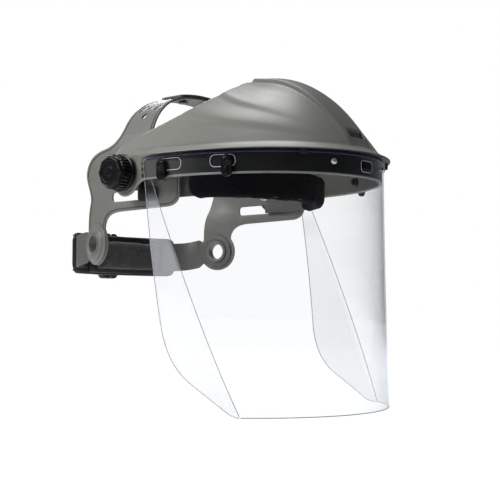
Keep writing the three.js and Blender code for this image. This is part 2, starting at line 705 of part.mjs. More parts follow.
const RATCHET_Y = BARREL_Y + BARREL_H + GAP;
const SHAFT_R = 4;

function ratchetKnob() {
  const grips = 12;
  const height = 11;
  const shape = new THREE.Shape();
  for (const i of range(grips * 4)) {
    const angle = (2 * Math.PI * i) / (grips * 4);
    const r = RATCHET_R - 1.6 * (0.5 - 0.5 * Math.cos(grips * angle)) ** 2;
    shape[i ? 'lineTo' : 'moveTo'](r * Math.cos(angle), r * Math.sin(angle));
  }
  const body = extrude(shape, height).rotateX(-Math.PI / 2);
  const rim = [[0, 0], [17.5, 0], [17.5, 1.8], [16, 2.6], [0, 2.6]];
  const face = turnedAlong(rim, 32, V(0, height - 0.2, 0), V(0, 1, 0));
  const socket = turnedAlong(rod(SHAFT_R + GAP, 9.2), 16, V(0, -1, 0), V(0, 1, 0));
  return cut(join(body, face), socket).translate(0, RATCHET_Y, NAPE_Z);
}

// Pinion between the straps, with the shaft that the knob turns.
function ratchetPinion() {
  const teeth = 10;
  const [tipR, rootR] = [5.6, 4.2];
  const shape = new THREE.Shape();
  for (const i of range(teeth)) {
    for (const [part, r] of [[0, tipR], [0.25, tipR], [0.45, rootR], [0.8, rootR]]) {
      const angle = (2 * Math.PI * (i + part)) / teeth;
      shape[i + part ? 'lineTo' : 'moveTo'](r * Math.cos(angle), r * Math.sin(angle));
    }
  }
  const start = NAPE_BACK - 0.9;
  const gear = extrude(shape, 4.6).rotateX(-Math.PI / 2).translate(0, start, NAPE_Z);
  const shaft = turnedAlong(rod(SHAFT_R, 20.5), 16, V(0, start, NAPE_Z), V(0, 1, 0));
  return join(gear, shaft);
}

// ---------------------------------------------------------------- assembly
const shield = new THREE.Group();

function add(name, geometry, look) {
  const mesh = new THREE.Mesh(geometry, new THREE.MeshStandardMaterial(look));
  mesh.name = name;
  shield.add(mesh);
}

function addPair(name, geometry, look) {
  add(`${name}_left`, geometry, look);
  add(`${name}_right`, mirrored(geometry), look);
}

add('crown', crown(), GREY);
add('window', windowSheet(), CLEAR);
for (const tab of TABS) {
  add(`window_tab_${tab.name}`, windowTab(tab), BLACK);
  add(`tab_stud_${tab.name}`, tabStud(tab), BLACK);
  add(`tab_nut_${tab.name}`, tabNut(tab), BLACK);
}
add('front_stud_left', frontStud(1), STEEL);
add('front_stud_right', frontStud(-1), STEEL);

addPair('pivot_hub', pivotHub(), BLACK);
addPair('friction_washer', frictionWasher(), BLACK);
addPair('pivot_bolt', pivotBolt(), STEEL);
addPair('side_knob', sideKnob(), BLACK);
addPair('knob_insert', knobInsert(), STEEL);

add('headband_left', headbandHalf(30, PANEL_T + GAP, 3.2), GREY);
add('headband_right', mirrored(headbandHalf(30, 0, PEG_R + GAP)), GREY);
PEG_X.forEach((x, i) => add(`strap_peg_${i + 1}`, strapPeg(x), GREY));
add('brow_band', browBand(), DARK_GREY);
addPair('slide_block', slideBlock(), BLACK);
add('brow_pad', browPad(), CLOTH);

add('nape_strap_left', napeStrap(0, 40), DARK_GREY);
add('nape_strap_right', mirrored(napeStrap(NAPE_T + GAP, 40)), DARK_GREY);
addPair('nape_rivet', napeRivet(), GREY);
add('ratchet_guide', ratchetGuide(), BLACK);
add('ratchet_housing', ratchetHousing(), BLACK);
add('nape_pad', napePad(), CLOTH);
add('ratchet_knob', ratchetKnob(), BLACK);
add('ratchet_pinion', ratchetPinion(), BLACK);

export default shield;
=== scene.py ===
"""Face shield: the looks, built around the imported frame.
Lengths in this script are millimetres on the row frame's axes, unless a name ends in _M."""

import json
import math

import bmesh
import bpy
import numpy as np
from mathutils import Matrix, Vector


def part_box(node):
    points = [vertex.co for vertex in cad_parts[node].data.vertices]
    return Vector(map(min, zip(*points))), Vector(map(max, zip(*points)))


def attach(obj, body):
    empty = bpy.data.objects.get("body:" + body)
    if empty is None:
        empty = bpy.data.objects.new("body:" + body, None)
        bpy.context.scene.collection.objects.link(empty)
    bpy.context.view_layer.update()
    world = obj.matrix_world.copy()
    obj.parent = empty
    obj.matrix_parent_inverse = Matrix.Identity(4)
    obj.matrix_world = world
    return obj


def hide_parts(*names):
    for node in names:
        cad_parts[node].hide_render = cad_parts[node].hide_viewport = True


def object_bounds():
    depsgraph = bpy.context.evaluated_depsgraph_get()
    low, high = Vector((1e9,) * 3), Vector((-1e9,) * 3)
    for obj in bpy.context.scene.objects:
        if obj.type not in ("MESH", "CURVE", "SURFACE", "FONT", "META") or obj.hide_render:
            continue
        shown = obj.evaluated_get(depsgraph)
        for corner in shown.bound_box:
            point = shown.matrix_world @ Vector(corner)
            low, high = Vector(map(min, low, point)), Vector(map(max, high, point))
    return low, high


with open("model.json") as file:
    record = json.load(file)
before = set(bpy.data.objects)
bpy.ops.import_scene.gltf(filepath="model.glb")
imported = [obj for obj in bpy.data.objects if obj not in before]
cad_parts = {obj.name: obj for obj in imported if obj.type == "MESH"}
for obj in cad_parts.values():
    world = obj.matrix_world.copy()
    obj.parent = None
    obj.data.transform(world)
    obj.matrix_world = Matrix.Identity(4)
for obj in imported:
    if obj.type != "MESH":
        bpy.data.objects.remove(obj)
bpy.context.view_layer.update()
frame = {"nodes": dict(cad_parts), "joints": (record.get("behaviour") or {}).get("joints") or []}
NODES = frame["nodes"]
JOINTS = {j["name"]: j for j in frame["joints"]}
SCENE = bpy.context.scene
MM = 0.001
SIDES = (("left", 1), ("right", -1))

# ------------------------------------------------------------------ sizes, as in the CAD model
GAP = 0.3
BAND_A, BAND_B, BAND_TOP = 102.0, 129.0, 20.0
WALL = 2.2
APEX_Y, DOME_RISE = -40.0, 65.5
PANEL_RISE, PANEL_HALF, PANEL_TAPER = 3.2, 20.0, 7.0
VENT_HALF, VENT_DEPTH = 10.3, 3.0
VENT_FROM, VENT_TO = 0.88, 0.926  # shares of the way from the dome's top to its edge
EAR_POWER = 2.3
BRIM_REACH, BRIM_Z, BRIM_END_Y = 7.0, 16.6, 14.0
_, PIVOT_Y, PIVOT_Z = (v / MM for v in JOINTS["visor_lift"]["pos_m"])
EAR_R = 17.5
BOSS_FACE_X, BOSS_BACK_X = 101.0, 94.5
WINDOW_T, WINDOW_TOP, WINDOW_BOTTOM = 1.2, 15.2, -184.0
STUD_Z, LUG_Z, STUD_R = 9.0, 7.5, 2.0
TABS = ("right_rear", "right_front", "left_front", "left_rear")
FRONT_STUD_X = 34.0
SIDE_X, SIDE_T = 82.0, 2.0
ARCH_BASE, ARCH_TOP, STRAP_Y, STRAP_HALF = 22.0, 81.0, 53.0, 13.0
_, EYELET_Y, EYELET_Z = (v / MM for v in JOINTS["nape_swing"]["pos_m"])
EYELET_R = 18.0
BROW_A, BROW_B, BROW_Y, BROW_T = 76.5, 59.0, -5.0, 1.8
BROW_LOW, BROW_HIGH, BROW_TAIL_Y = -14.0, 8.0, 34.0
NAPE_Z, NAPE_H, NAPE_T, NAPE_BACK = -53.0, 27.0, 1.6, 147.0
KNOB_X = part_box("side_knob_left")[0].x / MM
RATCHET_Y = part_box("ratchet_knob")[0].y / MM


# ------------------------------------------------------------------ mesh tools
def smooth(t):
    t = np.clip(t, 0.0, 1.0)
    return t * t * (3 - 2 * t)


def make(name, points, faces):
    """New object from points in millimetres, with its faces turned outwards."""
    mesh = bpy.data.meshes.new(name)
    mesh.from_pydata((np.asarray(points, float) * MM).tolist(), [], [list(f) for f in faces])
    bm = bmesh.new()
    bm.from_mesh(mesh)
    bmesh.ops.recalc_face_normals(bm, faces=bm.faces)
    bm.to_mesh(mesh)
    bm.free()
    obj = bpy.data.objects.new(name, mesh)
    SCENE.collection.objects.link(obj)
    return obj


def plate(name, outer, inner):
    """Closed plate between two grids of points of the same shape."""
    rows, cols = outer.shape[:2]
    points = np.concatenate([outer.reshape(-1, 3), inner.reshape(-1, 3)])
    half = rows * cols
    faces = []
    for i in range(rows - 1):
        for j in range(cols - 1):
            a = i * cols + j
            quad = (a, a + cols, a + cols + 1, a + 1)
            faces.append(quad)
            faces.append(tuple(half + q for q in reversed(quad)))
    rim = list(range(cols))
    rim += [i * cols + cols - 1 for i in range(1, rows)]
    rim += [(rows - 1) * cols + j for j in range(cols - 2, -1, -1)]
    rim += [i * cols for i in range(rows - 2, 0, -1)]
    for a, b in zip(rim, rim[1:] + rim[:1]):
        faces.append((a, b, b + half, a + half))
    return make(name, points, faces)


def loft(name, loops, closed=False):
    """Skin over loops of points; the ends are capped, or joined to each other."""
    loops = np.asarray(loops, float)
    count, n = loops.shape[:2]
    faces = []
    for i in range(count if closed else count - 1):
        for j in range(n):
            a, b = i * n + j, i * n + (j + 1) % n
            c, d = (b + n) % (count * n), (a + n) % (count * n)
            faces.append((a, b, c, d))
    if not closed:
        faces.append(tuple(range(n))[::-1])
        faces.append(tuple(range((count - 1) * n, count * n)))
    return make(name, loops.reshape(-1, 3), faces)


def rounded(points, radius, steps=4, closed=True):
    """The polyline with each corner turned into a small curve."""
    points = [np.asarray(p, float) for p in points]
    n = len(points)
    out = []
    for i, p in enumerate(points):
        if not closed and i in (0, n - 1):
            out.append(p)
            continue
        before, after = points[i - 1], points[(i + 1) % n]
        reach_in = min(radius, np.linalg.norm(before - p) * 0.49)
        reach_out = min(radius, np.linalg.norm(after - p) * 0.49)
        start = p + (before - p) / (np.linalg.norm(before - p) + 1e-9) * reach_in
        end = p + (after - p) / (np.linalg.norm(after - p) + 1e-9) * reach_out
        for t in np.linspace(0, 1, steps + 1):
            out.append((1 - t) ** 2 * start + 2 * t * (1 - t) * p + t * t * end)
    return np.array(out)


def resample(line, step):
    """Closed line with points about a step apart."""
    line = np.asarray(line, float)
    loop = np.concatenate([line, line[:1]])
    lengths = np.concatenate([[0], np.cumsum(np.linalg.norm(np.diff(loop, axis=0), axis=1))])
    count = max(8, int(round(lengths[-1] / step)))
    at = np.linspace(0, lengths[-1], count, endpoint=False)
    return np.stack([np.interp(at, lengths, loop[:, i]) for i in (0, 1)], 1)


def axis_frame(start, direction):
    """Matrix that takes X to a direction, at a point."""
    turn = Vector((1, 0, 0)).rotation_difference(Vector(direction))
    return Matrix.Translation(Vector(start)) @ turn.to_matrix().to_4x4()


def place(points, matrix):
    m = np.array(matrix)
    return np.asarray(points, float) @ m[:3, :3].T + m[:3, 3]


def lathe(name, profile, start, direction, segments=72, corner=0.3):
    """Turned piece: a closed profile of (radius, height) with its axis along a direction."""
    section = rounded(profile, corner)
    section[:, 0] = np.maximum(section[:, 0], 0.02)
    angles = np.linspace(0, 2 * math.pi, segments, endpoint=False)
    matrix = axis_frame(start, direction)
    loops = [[(h, r * math.cos(a), r * math.sin(a)) for r, h in section] for a in angles]
    return loft(name, [place(loop, matrix) for loop in loops], closed=True)


def turned(name, radii, start, direction, segments=192):
    """Turned piece whose radius changes with the angle: radii is a list of (height, function)."""
    angles = np.linspace(0, 2 * math.pi, segments, endpoint=False)
    matrix = axis_frame(start, direction)
    loops = []
    for height, radius in radii:
        r = radius(angles) if callable(radius) else np.full(segments, float(radius))
        across = (np.full(segments, height), r * np.cos(angles), r * np.sin(angles))
        loops.append(place(np.stack(across, 1), matrix))
    return loft(name, loops)


def tube(name, path, radius, sides=10, closed=False):
    """Round tube along a path of points."""
    path = np.asarray(path, float)
    ahead = np.roll(path, -1, 0) - np.roll(path, 1, 0)
    if not closed:
        ahead[0], ahead[-1] = path[1] - path[0], path[-1] - path[-2]
    tangent = ahead / np.linalg.norm(ahead, axis=1)[:, None]
    normal = np.cross(tangent[0], [0, 0, 1.0])
    normal /= np.linalg.norm(normal) + 1e-9
    loops = []
    for p, t in zip(path, tangent):
        normal = normal - t * np.dot(normal, t)
        normal /= np.linalg.norm(normal)
        side = np.cross(t, normal)
        turn = np.linspace(0, 2 * math.pi, sides, endpoint=False)
        loops.append([p + radius * (math.cos(a) * normal + math.sin(a) * side) for a in turn])
    return loft(name, loops, closed)


def bake(obj):
    """Applies the object's modifiers."""
    graph = bpy.context.evaluated_depsgraph_get()
    mesh = bpy.data.meshes.new_from_object(obj.evaluated_get(graph))
    obj.modifiers.clear()
    obj.data = mesh
    return obj


def boolean(obj, other, operation):
    """Joins or cuts with another closed mesh, which is used up."""
    modifier = obj.modifiers.new("b", "BOOLEAN")
    modifier.operation, modifier.solver, modifier.object = operation, "MANIFOLD", other
    bake(obj)
    bpy.data.objects.remove(other)
    return obj


def bevel(obj, width, angle=32, segments=3):
    modifier = obj.modifiers.new("v", "BEVEL")
    modifier.width, modifier.segments = width * MM, segments
    modifier.limit_method, modifier.angle_limit = "ANGLE", math.radians(angle)
    modifier.miter_outer = "MITER_ARC"
    return bake(obj)


def shade(obj, angle=38):
    obj.data.shade_smooth()
    bm = bmesh.new()
    bm.from_mesh(obj.data)
    for edge in bm.edges:
        edge.smooth = len(edge.link_faces) == 2 and edge.calc_face_angle(0) < math.radians(angle)
    bm.to_mesh(obj.data)
    bm.free()
    return obj


def finish_piece(obj, body, material, slot, *nodes, angle=38):
    """Smooth shading, material, body and the CAD nodes the piece stands for; slot is not used."""
    shade(obj, angle)
    if material is not None:
        obj.data.materials.clear()
        obj.data.materials.append(material)
    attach(obj, body)
    if nodes:
        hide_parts(*nodes)
    return obj


def polished(node, body, material, slot, width=0.35):
    """Copy of a CAD node with its flats made whole and its edges rounded."""
    obj = bpy.data.objects.new(f"{node}_fine", NODES[node].data.copy())
    SCENE.collection.objects.link(obj)
    bm = bmesh.new()
    bm.from_mesh(obj.data)
    bmesh.ops.remove_doubles(bm, verts=bm.verts, dist=1e-6)
    bmesh.ops.dissolve_limit(bm, angle_limit=math.radians(1), verts=bm.verts, edges=bm.edges)
    bm.to_mesh(obj.data)
    bm.free()
    bevel(obj, width)
    return finish_piece(obj, body, material, slot, node)


# ------------------------------------------------------------------ materials
class Nodes:
    """Short names for building one node tree."""

    def __init__(self, name):
        self.material = bpy.data.materials.new(name)
        self.material.use_nodes = True
        self.tree = self.material.node_tree
        self.tree.nodes.clear()
        self.output = self.add("ShaderNodeOutputMaterial")
        self.place = self.add("ShaderNodeTexCoord").outputs["Object"]

    def add(self, kind, **settings):
        node = self.tree.nodes.new(kind)
        for key, value in settings.items():
            if hasattr(node, key):
                setattr(node, key, value)
            else:
                node.inputs[key.replace("_", " ")].default_value = value
        return node

    def link(self, a, b):
        self.tree.links.new(a, b)
        return b

    def noise(self, scale, detail=3.0, stretch=None):
        node = self.add("ShaderNodeTexNoise", Scale=scale, Detail=detail, Roughness=0.55)
        source = self.place
        if stretch:
            mapping = self.add("ShaderNodeMapping")
            mapping.inputs["Scale"].default_value = stretch
            self.link(source, mapping.inputs["Vector"])
            source = mapping.outputs[0]
        self.link(source, node.inputs["Vector"])
        return node.outputs["Fac"]

    def ramp(self, fac, *stops):
        """Blend of colours at chosen places of a factor."""
        node = self.add("ShaderNodeValToRGB")
        elements = node.color_ramp.elements
        while len(elements) < len(stops):
            elements.new(0.5)
        for element, (position, colour) in zip(elements, stops):
            element.position = position
            element.color = (*colour, 1) if len(colour) == 3 else colour
        self.link(fac, node.inputs[0])
        return node.outputs["Color"]

    def span(self, fac, low, high, start=0.0, end=1.0):
        node = self.add("ShaderNodeMapRange")
        for key, value in zip(("From Min", "From Max", "To Min", "To Max"), (start, end, low, high)):
            node.inputs[key].default_value = value
        self.link(fac, node.inputs["Value"])
        return node.outputs["Result"]

    def mix(self, fac, a, b):
        node = self.add("ShaderNodeMix", data_type="RGBA")
        self.link(fac, node.inputs["Factor"])
        for key, value in ((6, a), (7, b)):
            if isinstance(value, tuple):
                node.inputs[key].default_value = (*value, 1)
            else:
                self.link(value, node.inputs[key])
        return node.outputs[2]

    def bump(self, height, distance, strength=1.0, below=None):
        node = self.add("ShaderNodeBump", Strength=strength, Distance=distance * MM)
        self.link(height, node.inputs["Height"])
        if below is not None:
            self.link(below, node.inputs["Normal"])
        return node.outputs["Normal"]

    def attribute(self, name):
        return self.add("ShaderNodeAttribute", attribute_name=name).outputs["Fac"]

    def principled(self, colour, rough, normal=None, **settings):
        shader = self.add("ShaderNodeBsdfPrincipled")
        self.link(colour, shader.inputs["Base Color"])
        self.link(rough, shader.inputs["Roughness"])
        if normal is not None:
            self.link(normal, shader.inputs["Normal"])
        for key, value in settings.items():
            shader.inputs[key.replace("_", " ")].default_value = value
        self.link(shader.outputs[0], self.output.inputs["Surface"])
        return self.material


def shader_of(material):
    return next(node for node in material.node_tree.nodes if node.type == "BSDF_PRINCIPLED")


def tinted(colour, share):
    return tuple(c * share for c in colour)


def moulded(name, colour, rough, grain=0.5, depth=0.012, **settings):
    """Moulded plastic: a slight flow pattern, a fine skin and uneven gloss."""
    n = Nodes(name)
    flow = n.noise(14.0, 2.0)
    skin = n.noise(1 / (grain * MM), 4.0)
    base = n.ramp(flow, (0.3, tinted(colour, 0.93)), (0.7, tinted(colour, 1.06)))
    worn = n.mix(n.span(skin, 0.0, 0.35, 0.45, 0.8), base, tinted(colour, 1.18))
    gloss = n.span(n.noise(60.0, 3.0), rough * 0.88, rough * 1.14, 0.3, 0.7)
    return n.principled(worn, gloss, n.bump(skin, depth), **settings)


def crown_material():
    """Satin grey with painted shade: near black on the band below the brim and in the vent recess,
    dimmer inside the band, darker on the central panel.
    """
    n = Nodes("crown_satin")
    grey, painted_shade_colour = (0.125, 0.126, 0.11), (0.006, 0.0068, 0.0068)
    flow = n.noise(11.0, 2.0)
    skin = n.noise(2400.0, 3.0)
    base = n.ramp(flow, (0.3, tinted(grey, 0.95)), (0.7, tinted(grey, 1.05)))
    # Painted shade: near black under the brim and in the vent recess, dimmer inside the band.
    band = n.attribute("band")
    # Painted shade: the central panel is darker, as it faces away from the light.
    panel_shaded = n.mix(n.attribute("painted_panel_shade"), base, tinted(grey, 0.72))
    colour = n.mix(band, panel_shaded, painted_shade_colour)
    gloss = n.span(n.noise(45.0, 3.0), 0.36, 0.42, 0.3, 0.7)
    material = n.principled(colour, gloss, n.bump(skin, 0.006))
    # The band's painted shade also lowers its gloss.
    n.link(n.span(band, 0.62, 0.12), shader_of(material).inputs["Specular IOR Level"])
    return material


def window_material():
    """Clear polished sheet; the side wings are a little milky, and there are faint wiping marks."""
    n = Nodes("clear_polycarbonate")
    clear = n.add("ShaderNodeBsdfTransparent")
    clear.inputs["Color"].default_value = (0.985, 0.988, 0.993, 1)
    gloss = n.add("ShaderNodeBsdfGlossy", Roughness=0.05)
    gloss.inputs["Color"].default_value = (0.90, 0.94, 1.0, 1)
    facing = n.add("ShaderNodeLayerWeight", Blend=0.5)
    steep = n.add("ShaderNodeMath", operation="POWER")
    n.link(facing.outputs["Facing"], steep.inputs[0])
    steep.inputs[1].default_value = 2.8
    sheet = n.add("ShaderNodeMixShader")
    n.link(n.span(steep.outputs[0], 0.012, 0.5), sheet.inputs[0])
    n.link(clear.outputs[0], sheet.inputs[1])
    n.link(gloss.outputs[0], sheet.inputs[2])
    through, off = n.add("ShaderNodeBsdfTranslucent"), n.add("ShaderNodeBsdfDiffuse")
    for part in (through, off):
        part.inputs["Color"].default_value = (0.95, 0.96, 1.0, 1)
    milk = n.add("ShaderNodeMixShader")
    n.link(through.outputs[0], milk.inputs[1])
    n.link(off.outputs[0], milk.inputs[2])
    marks = n.span(n.noise(9.0, 5.0, (1, 1, 0.25)), 0.0, 0.002, 0.5, 0.75)
    haze = n.add("ShaderNodeMath", operation="ADD")
    n.link(n.attribute("haze"), haze.inputs[0])
    n.link(marks, haze.inputs[1])
    both = n.add("ShaderNodeMixShader")
    n.link(haze.outputs[0], both.inputs[0])
    n.link(sheet.outputs[0], both.inputs[1])
    n.link(milk.outputs[0], both.inputs[2])
    n.link(both.outputs[0], n.output.inputs["Surface"])
    return n.material


def window_edge_material():
    """Cut edge of the sheet, where light leaves it."""
    n = Nodes("polycarbonate_edge")
    saw = n.noise(900.0, 2.0, (1, 1, 0.15))
    colour = n.ramp(saw, (0.35, (0.16, 0.165, 0.18)), (0.7, (0.30, 0.31, 0.34)))
    return n.principled(colour, n.span(saw, 0.18, 0.4), n.bump(saw, 0.01))


def towelling(name, colour, tip, loop=1.1, depth=0.5):
    """Brushed loops of dark cotton: clumps, single loops and a soft edge light."""
    n = Nodes(name)
    loops = n.add("ShaderNodeTexVoronoi", Scale=1 / (loop * MM), feature="F1")
    n.link(n.place, loops.inputs["Vector"])
    clumps = n.noise(160.0, 4.0)
    shade_of_loop = n.ramp(loops.outputs["Distance"], (0.1, tip), (0.75, colour))
    base = n.mix(n.span(clumps, 0.0, 0.7, 0.35, 0.7), shade_of_loop, colour)
    height = n.span(loops.outputs["Distance"], 1.0, 0.0, 0.0, 0.8)
    normal = n.bump(clumps, 0.7, 0.6, n.bump(height, depth, 0.8))
    rough = n.span(clumps, 0.85, 1.0)
    return n.principled(base, rough, normal, Sheen_Weight=0.03, Sheen_Roughness=0.4,
                        Specular_IOR_Level=0.08)


def knit(name, colour, tip):
    """Tight charcoal cloth with a fine even speckle."""
    n = Nodes(name)
    weave = n.add("ShaderNodeTexVoronoi", Scale=1 / (0.8 * MM), feature="F1")
    n.link(n.place, weave.inputs["Vector"])
    cloud = n.noise(90.0, 3.0)
    speck = n.ramp(weave.outputs["Distance"], (0.15, tip), (0.7, colour))
    base = n.mix(n.span(cloud, 0.0, 0.5, 0.35, 0.7), speck, colour)
    normal = n.bump(n.span(weave.outputs["Distance"], 1.0, 0.0), 0.25, 0.7)
    return n.principled(base, n.span(cloud, 0.8, 0.95), normal, Sheen_Weight=0.1)


def plated(name):
    """Plated steel with fine turning marks."""
    n = Nodes(name)
    turning = n.noise(1500.0, 2.0, (1, 1, 6))
    colour = n.ramp(turning, (0.3, (0.52, 0.52, 0.53)), (0.7, (0.68, 0.68, 0.69)))
    return n.principled(colour, n.span(turning, 0.18, 0.36), n.bump(turning, 0.01), Metallic=1.0)


MAT = {
    "crown": crown_material(),
    # Painted highlight: the rolled edge is a lighter grey than the crown, for the light line along the
    # rim.
    "edge": moulded("crown_edge_painted_highlight", (0.17, 0.172, 0.152), 0.3, 0.45, 0.004),
    "window": window_material(),
    "window_edge": window_edge_material(),
    "window_top": moulded("window_top_edge_tint", (0.035, 0.035, 0.16), 0.25, 0.5, 0.004),
    # Painted highlight: light grey for the light caught by the cut edges of the window's slots.
    "window_slot_highlight": moulded("window_slot_painted_highlight", (0.48, 0.50, 0.56), 0.2, 0.5, 0.004),
    # Painted shadow: near black for the shade in the groove inside the headband's edge.
    "seam": moulded("groove_painted_shadow", (0.022, 0.022, 0.02), 0.55, 0.6, 0.006),
    "headband": moulded("headband_polyethylene", (0.108, 0.11, 0.098), 0.46, 0.4, 0.01),
    "eyelet": moulded("eyelet_polyethylene", (0.105, 0.108, 0.1), 0.36, 0.4, 0.008),
    "strap": moulded("strap_polyethylene", (0.06, 0.062, 0.056), 0.5, 0.35, 0.01),
    "black": moulded("black_gloss_plastic", (0.0035, 0.0036, 0.0044), 0.22, 0.6, 0.006,
                     Specular_IOR_Level=0.17),
    "black_satin": moulded("black_satin_plastic", (0.008, 0.0085, 0.01), 0.36, 0.5, 0.008,
                           Specular_IOR_Level=0.3),
    "brow_pad": towelling("black_towelling", (0.0005, 0.0004, 0.0007), (0.0035, 0.003, 0.0065)),
    "nape_pad": knit("charcoal_knit", (0.012, 0.012, 0.013), (0.085, 0.085, 0.088)),
    "steel": plated("plated_steel"),
}


# ------------------------------------------------------------------ the crown's surface
def ring(phi, offset=0.0):
    """x and y of the band's oval; phi is measured from straight ahead towards +X."""
    phi = np.asarray(phi, float)
    back = np.maximum(0.0, -np.cos(phi))
    wide = np.maximum(0.0, 1 - back ** EAR_POWER) ** (1 / EAR_POWER)
    x = np.where(back > 0, np.sign(phi) * wide, np.sin(phi))
    return (BAND_A + offset) * x, -(BAND_B + offset) * np.cos(phi)


def ring_points(phi, offset, z):
    x, y = ring(phi, offset)
    return np.stack([x, y, np.zeros_like(x) + z], -1)


def band_normal(phi):
    n = Vector((math.sin(phi) / BAND_A, -math.cos(phi) / BAND_B, 0))
    return n.normalized()


def phi_at(y):
    return math.acos(-y / BAND_B)


def dome_power(phi):
    return 2 + smooth((np.abs(phi) - math.radians(60)) / math.radians(60))


def flute(phi, k):
    """Two swept steps on each side of the dome, strongest at the rear rim."""
    turn = np.degrees(np.abs(phi))
    upper = 0.56 + 0.0051 * (75 - turn)
    lower = 0.755 + 0.0021 * (89 - turn)
    span = 0.145
    total = np.zeros_like(turn + k)
    for crest, height in ((upper - 0.21, 0.5), (upper, 1.0), (lower, 1.15)):
        w = (k - crest) / span
        total = total + height * np.where(w < 0, smooth(1 + w) ** 1.3, smooth(1 - w / 0.42))
    return total * smooth((turn - 14) / 62)


FLUTE_DEPTH = 1.15


def dome_grid(phi, ks, inset):
    """Grid of dome points, rows along ks and columns along phi, with the flutes raised."""
    p, k = np.meshgrid(phi, ks)
    x, y = ring(p, -inset)
    z = BAND_TOP + (DOME_RISE - inset) * (1 - k ** dome_power(p))
    grid = np.stack([x * k, APEX_Y + (y - APEX_Y) * k, z], -1)
    across = np.gradient(grid, axis=1)
    down = np.gradient(grid, axis=0)
    normal = np.cross(down, across)
    normal /= np.linalg.norm(normal, axis=2)[..., None] + 1e-9
    normal *= np.sign(normal[..., 2:3] + 1e-9)
    return grid + normal * (FLUTE_DEPTH * flute(p, k))[..., None]


def dome_height(x, y):
    """Height of the plain dome over a point, the share k of the way to the band, and phi."""
    table = np.linspace(-math.pi, math.pi, 2881)
    bx, by = ring(table)
    heading = np.arctan2(bx, -(by - APEX_Y))
    phi = np.interp(np.arctan2(x, -(y - APEX_Y)), heading, table)
    ex, ey = ring(phi)
    k = np.hypot(x, y - APEX_Y) / np.hypot(ex, ey - APEX_Y)
    return BAND_TOP + DOME_RISE * (1 - k ** dome_power(phi)), k, phi


def bezier(p0, p1, p2, t):
    return (1 - t) ** 2 * np.asarray(p0) + 2 * t * (1 - t) * np.asarray(p1) + t * t * np.asarray(p2)


def cubic(p0, p1, p2, p3, t):
    p0, p1, p2, p3 = map(np.asarray, (p0, p1, p2, p3))
    return (1 - t) ** 3 * p0 + 3 * t * (1 - t) ** 2 * p1 + 3 * t * t * (1 - t) * p2 + t ** 3 * p3


def curve_points(controls, start, end, steps):
    """Points on a curve with three or four control points, between two parameters."""
    shape = bezier if len(controls) == 3 else cubic
    return [tuple(shape(*controls, t)) for t in np.linspace(start, end, steps)]


def arc(centre, radius, start, end, steps):
    turns = [math.radians(a) for a in np.linspace(start, end, steps)]
    return [(centre[0] + radius * math.cos(a), centre[1] + radius * math.sin(a)) for a in turns]


def crown_edge_line():
    """Side view of the crown's free edge from the band's lower edge round the ear to the crest."""
    ear = (PIVOT_Y, PIVOT_Z)
    start, foot = (PIVOT_Y - 24, 0), (PIVOT_Y - 10, PIVOT_Z - EAR_R + 3)
    line = [start]
    line += curve_points((start, (PIVOT_Y - 16, -1), foot), 0.1, 0.95, 8)
    line += arc(ear, EAR_R, 237, 371, 30)
    corner = (PIVOT_Y + 22, BAND_TOP + 9)
    low = np.array(line[-1])
    rim = [bezier(corner, (-8, 44), (-30, 72), t) for t in np.linspace(0.09, 1, 40)]
    line += curve_points((low, corner, rim[0]), 0.15, 0.85, 7)
    line += [tuple(p) for p in rim]
    line += [tuple(p) for p in np.linspace((-30.8, 75.8), (-38, 110), 12)]
    return line


def prism(name, outline, half_width):
    """Closed prism of a (y, z) outline, across the object."""
    loops = [[(x, y, z) for y, z in outline] for x in (-half_width, half_width)]
    return loft(name, loops)


def crown_body(inset, low, name):
    """Closed body under the crown's outer or inner skin; the outer one carries the brim."""
    phi = np.linspace(-math.pi, math.pi, 384, endpoint=False)
    ks = np.concatenate([np.linspace(0.03, 0.3, 10)[:-1], np.linspace(0.3, 0.965, 64)])
    rows = [row for row in dome_grid(phi, ks, inset)]
    if inset:
        rows += [ring_points(phi, -inset, z) for z in (BAND_TOP, 8.0, low)]
        rows[-3] = dome_grid(phi, [0.999, 1.0], inset)[1]
        return loft(name, rows)
    taper = smooth((phi_at(BRIM_END_Y) - np.abs(phi)) / math.radians(9))[:, None]
    start, before = rows[-1], rows[-2]
    along = (start - before) / np.linalg.norm(start - before, axis=1)[:, None]
    reach = (BRIM_REACH - 0.7) * taper[:, 0]
    end = ring_points(phi, reach, 19.2 - 0.9 * taper[:, 0])
    pull = ring_points(phi, reach - 3.0 * taper[:, 0], 20.6 - 1.3 * taper[:, 0])
    for t in np.linspace(0.12, 1, 9):
        rows.append((1 - t) ** 3 * start + 3 * t * (1 - t) ** 2 * (start + along * 3.0)
                    + 3 * t * t * (1 - t) * pull + t ** 3 * end)
    lip = [(6.75, 18.0), (7.0, 17.55), (7.0, 17.05), (6.75, 16.7), (6.3, BRIM_Z), (4.5, 16.7),
           (1.0, 16.8), (0.25, 16.5), (0.0, 15.8)]
    plain = np.linspace(18.7, 15.8, len(lip))
    for (out, z), z_plain in zip(lip, plain):
        level = z * taper[:, 0] + z_plain * (1 - taper[:, 0])
        rows.append(ring_points(phi, out * taper[:, 0], level))
    rows += [ring_points(phi, 0.0, z) for z in (14.0, 9.0, 4.0, 0.0, low)]
    return loft(name, rows)


def panel_half(y):
    """Half-width of the central panel, which narrows towards the front."""
    return PANEL_HALF - PANEL_TAPER * np.clip((APEX_Y - y) / (BAND_B + APEX_Y), 0, 1)


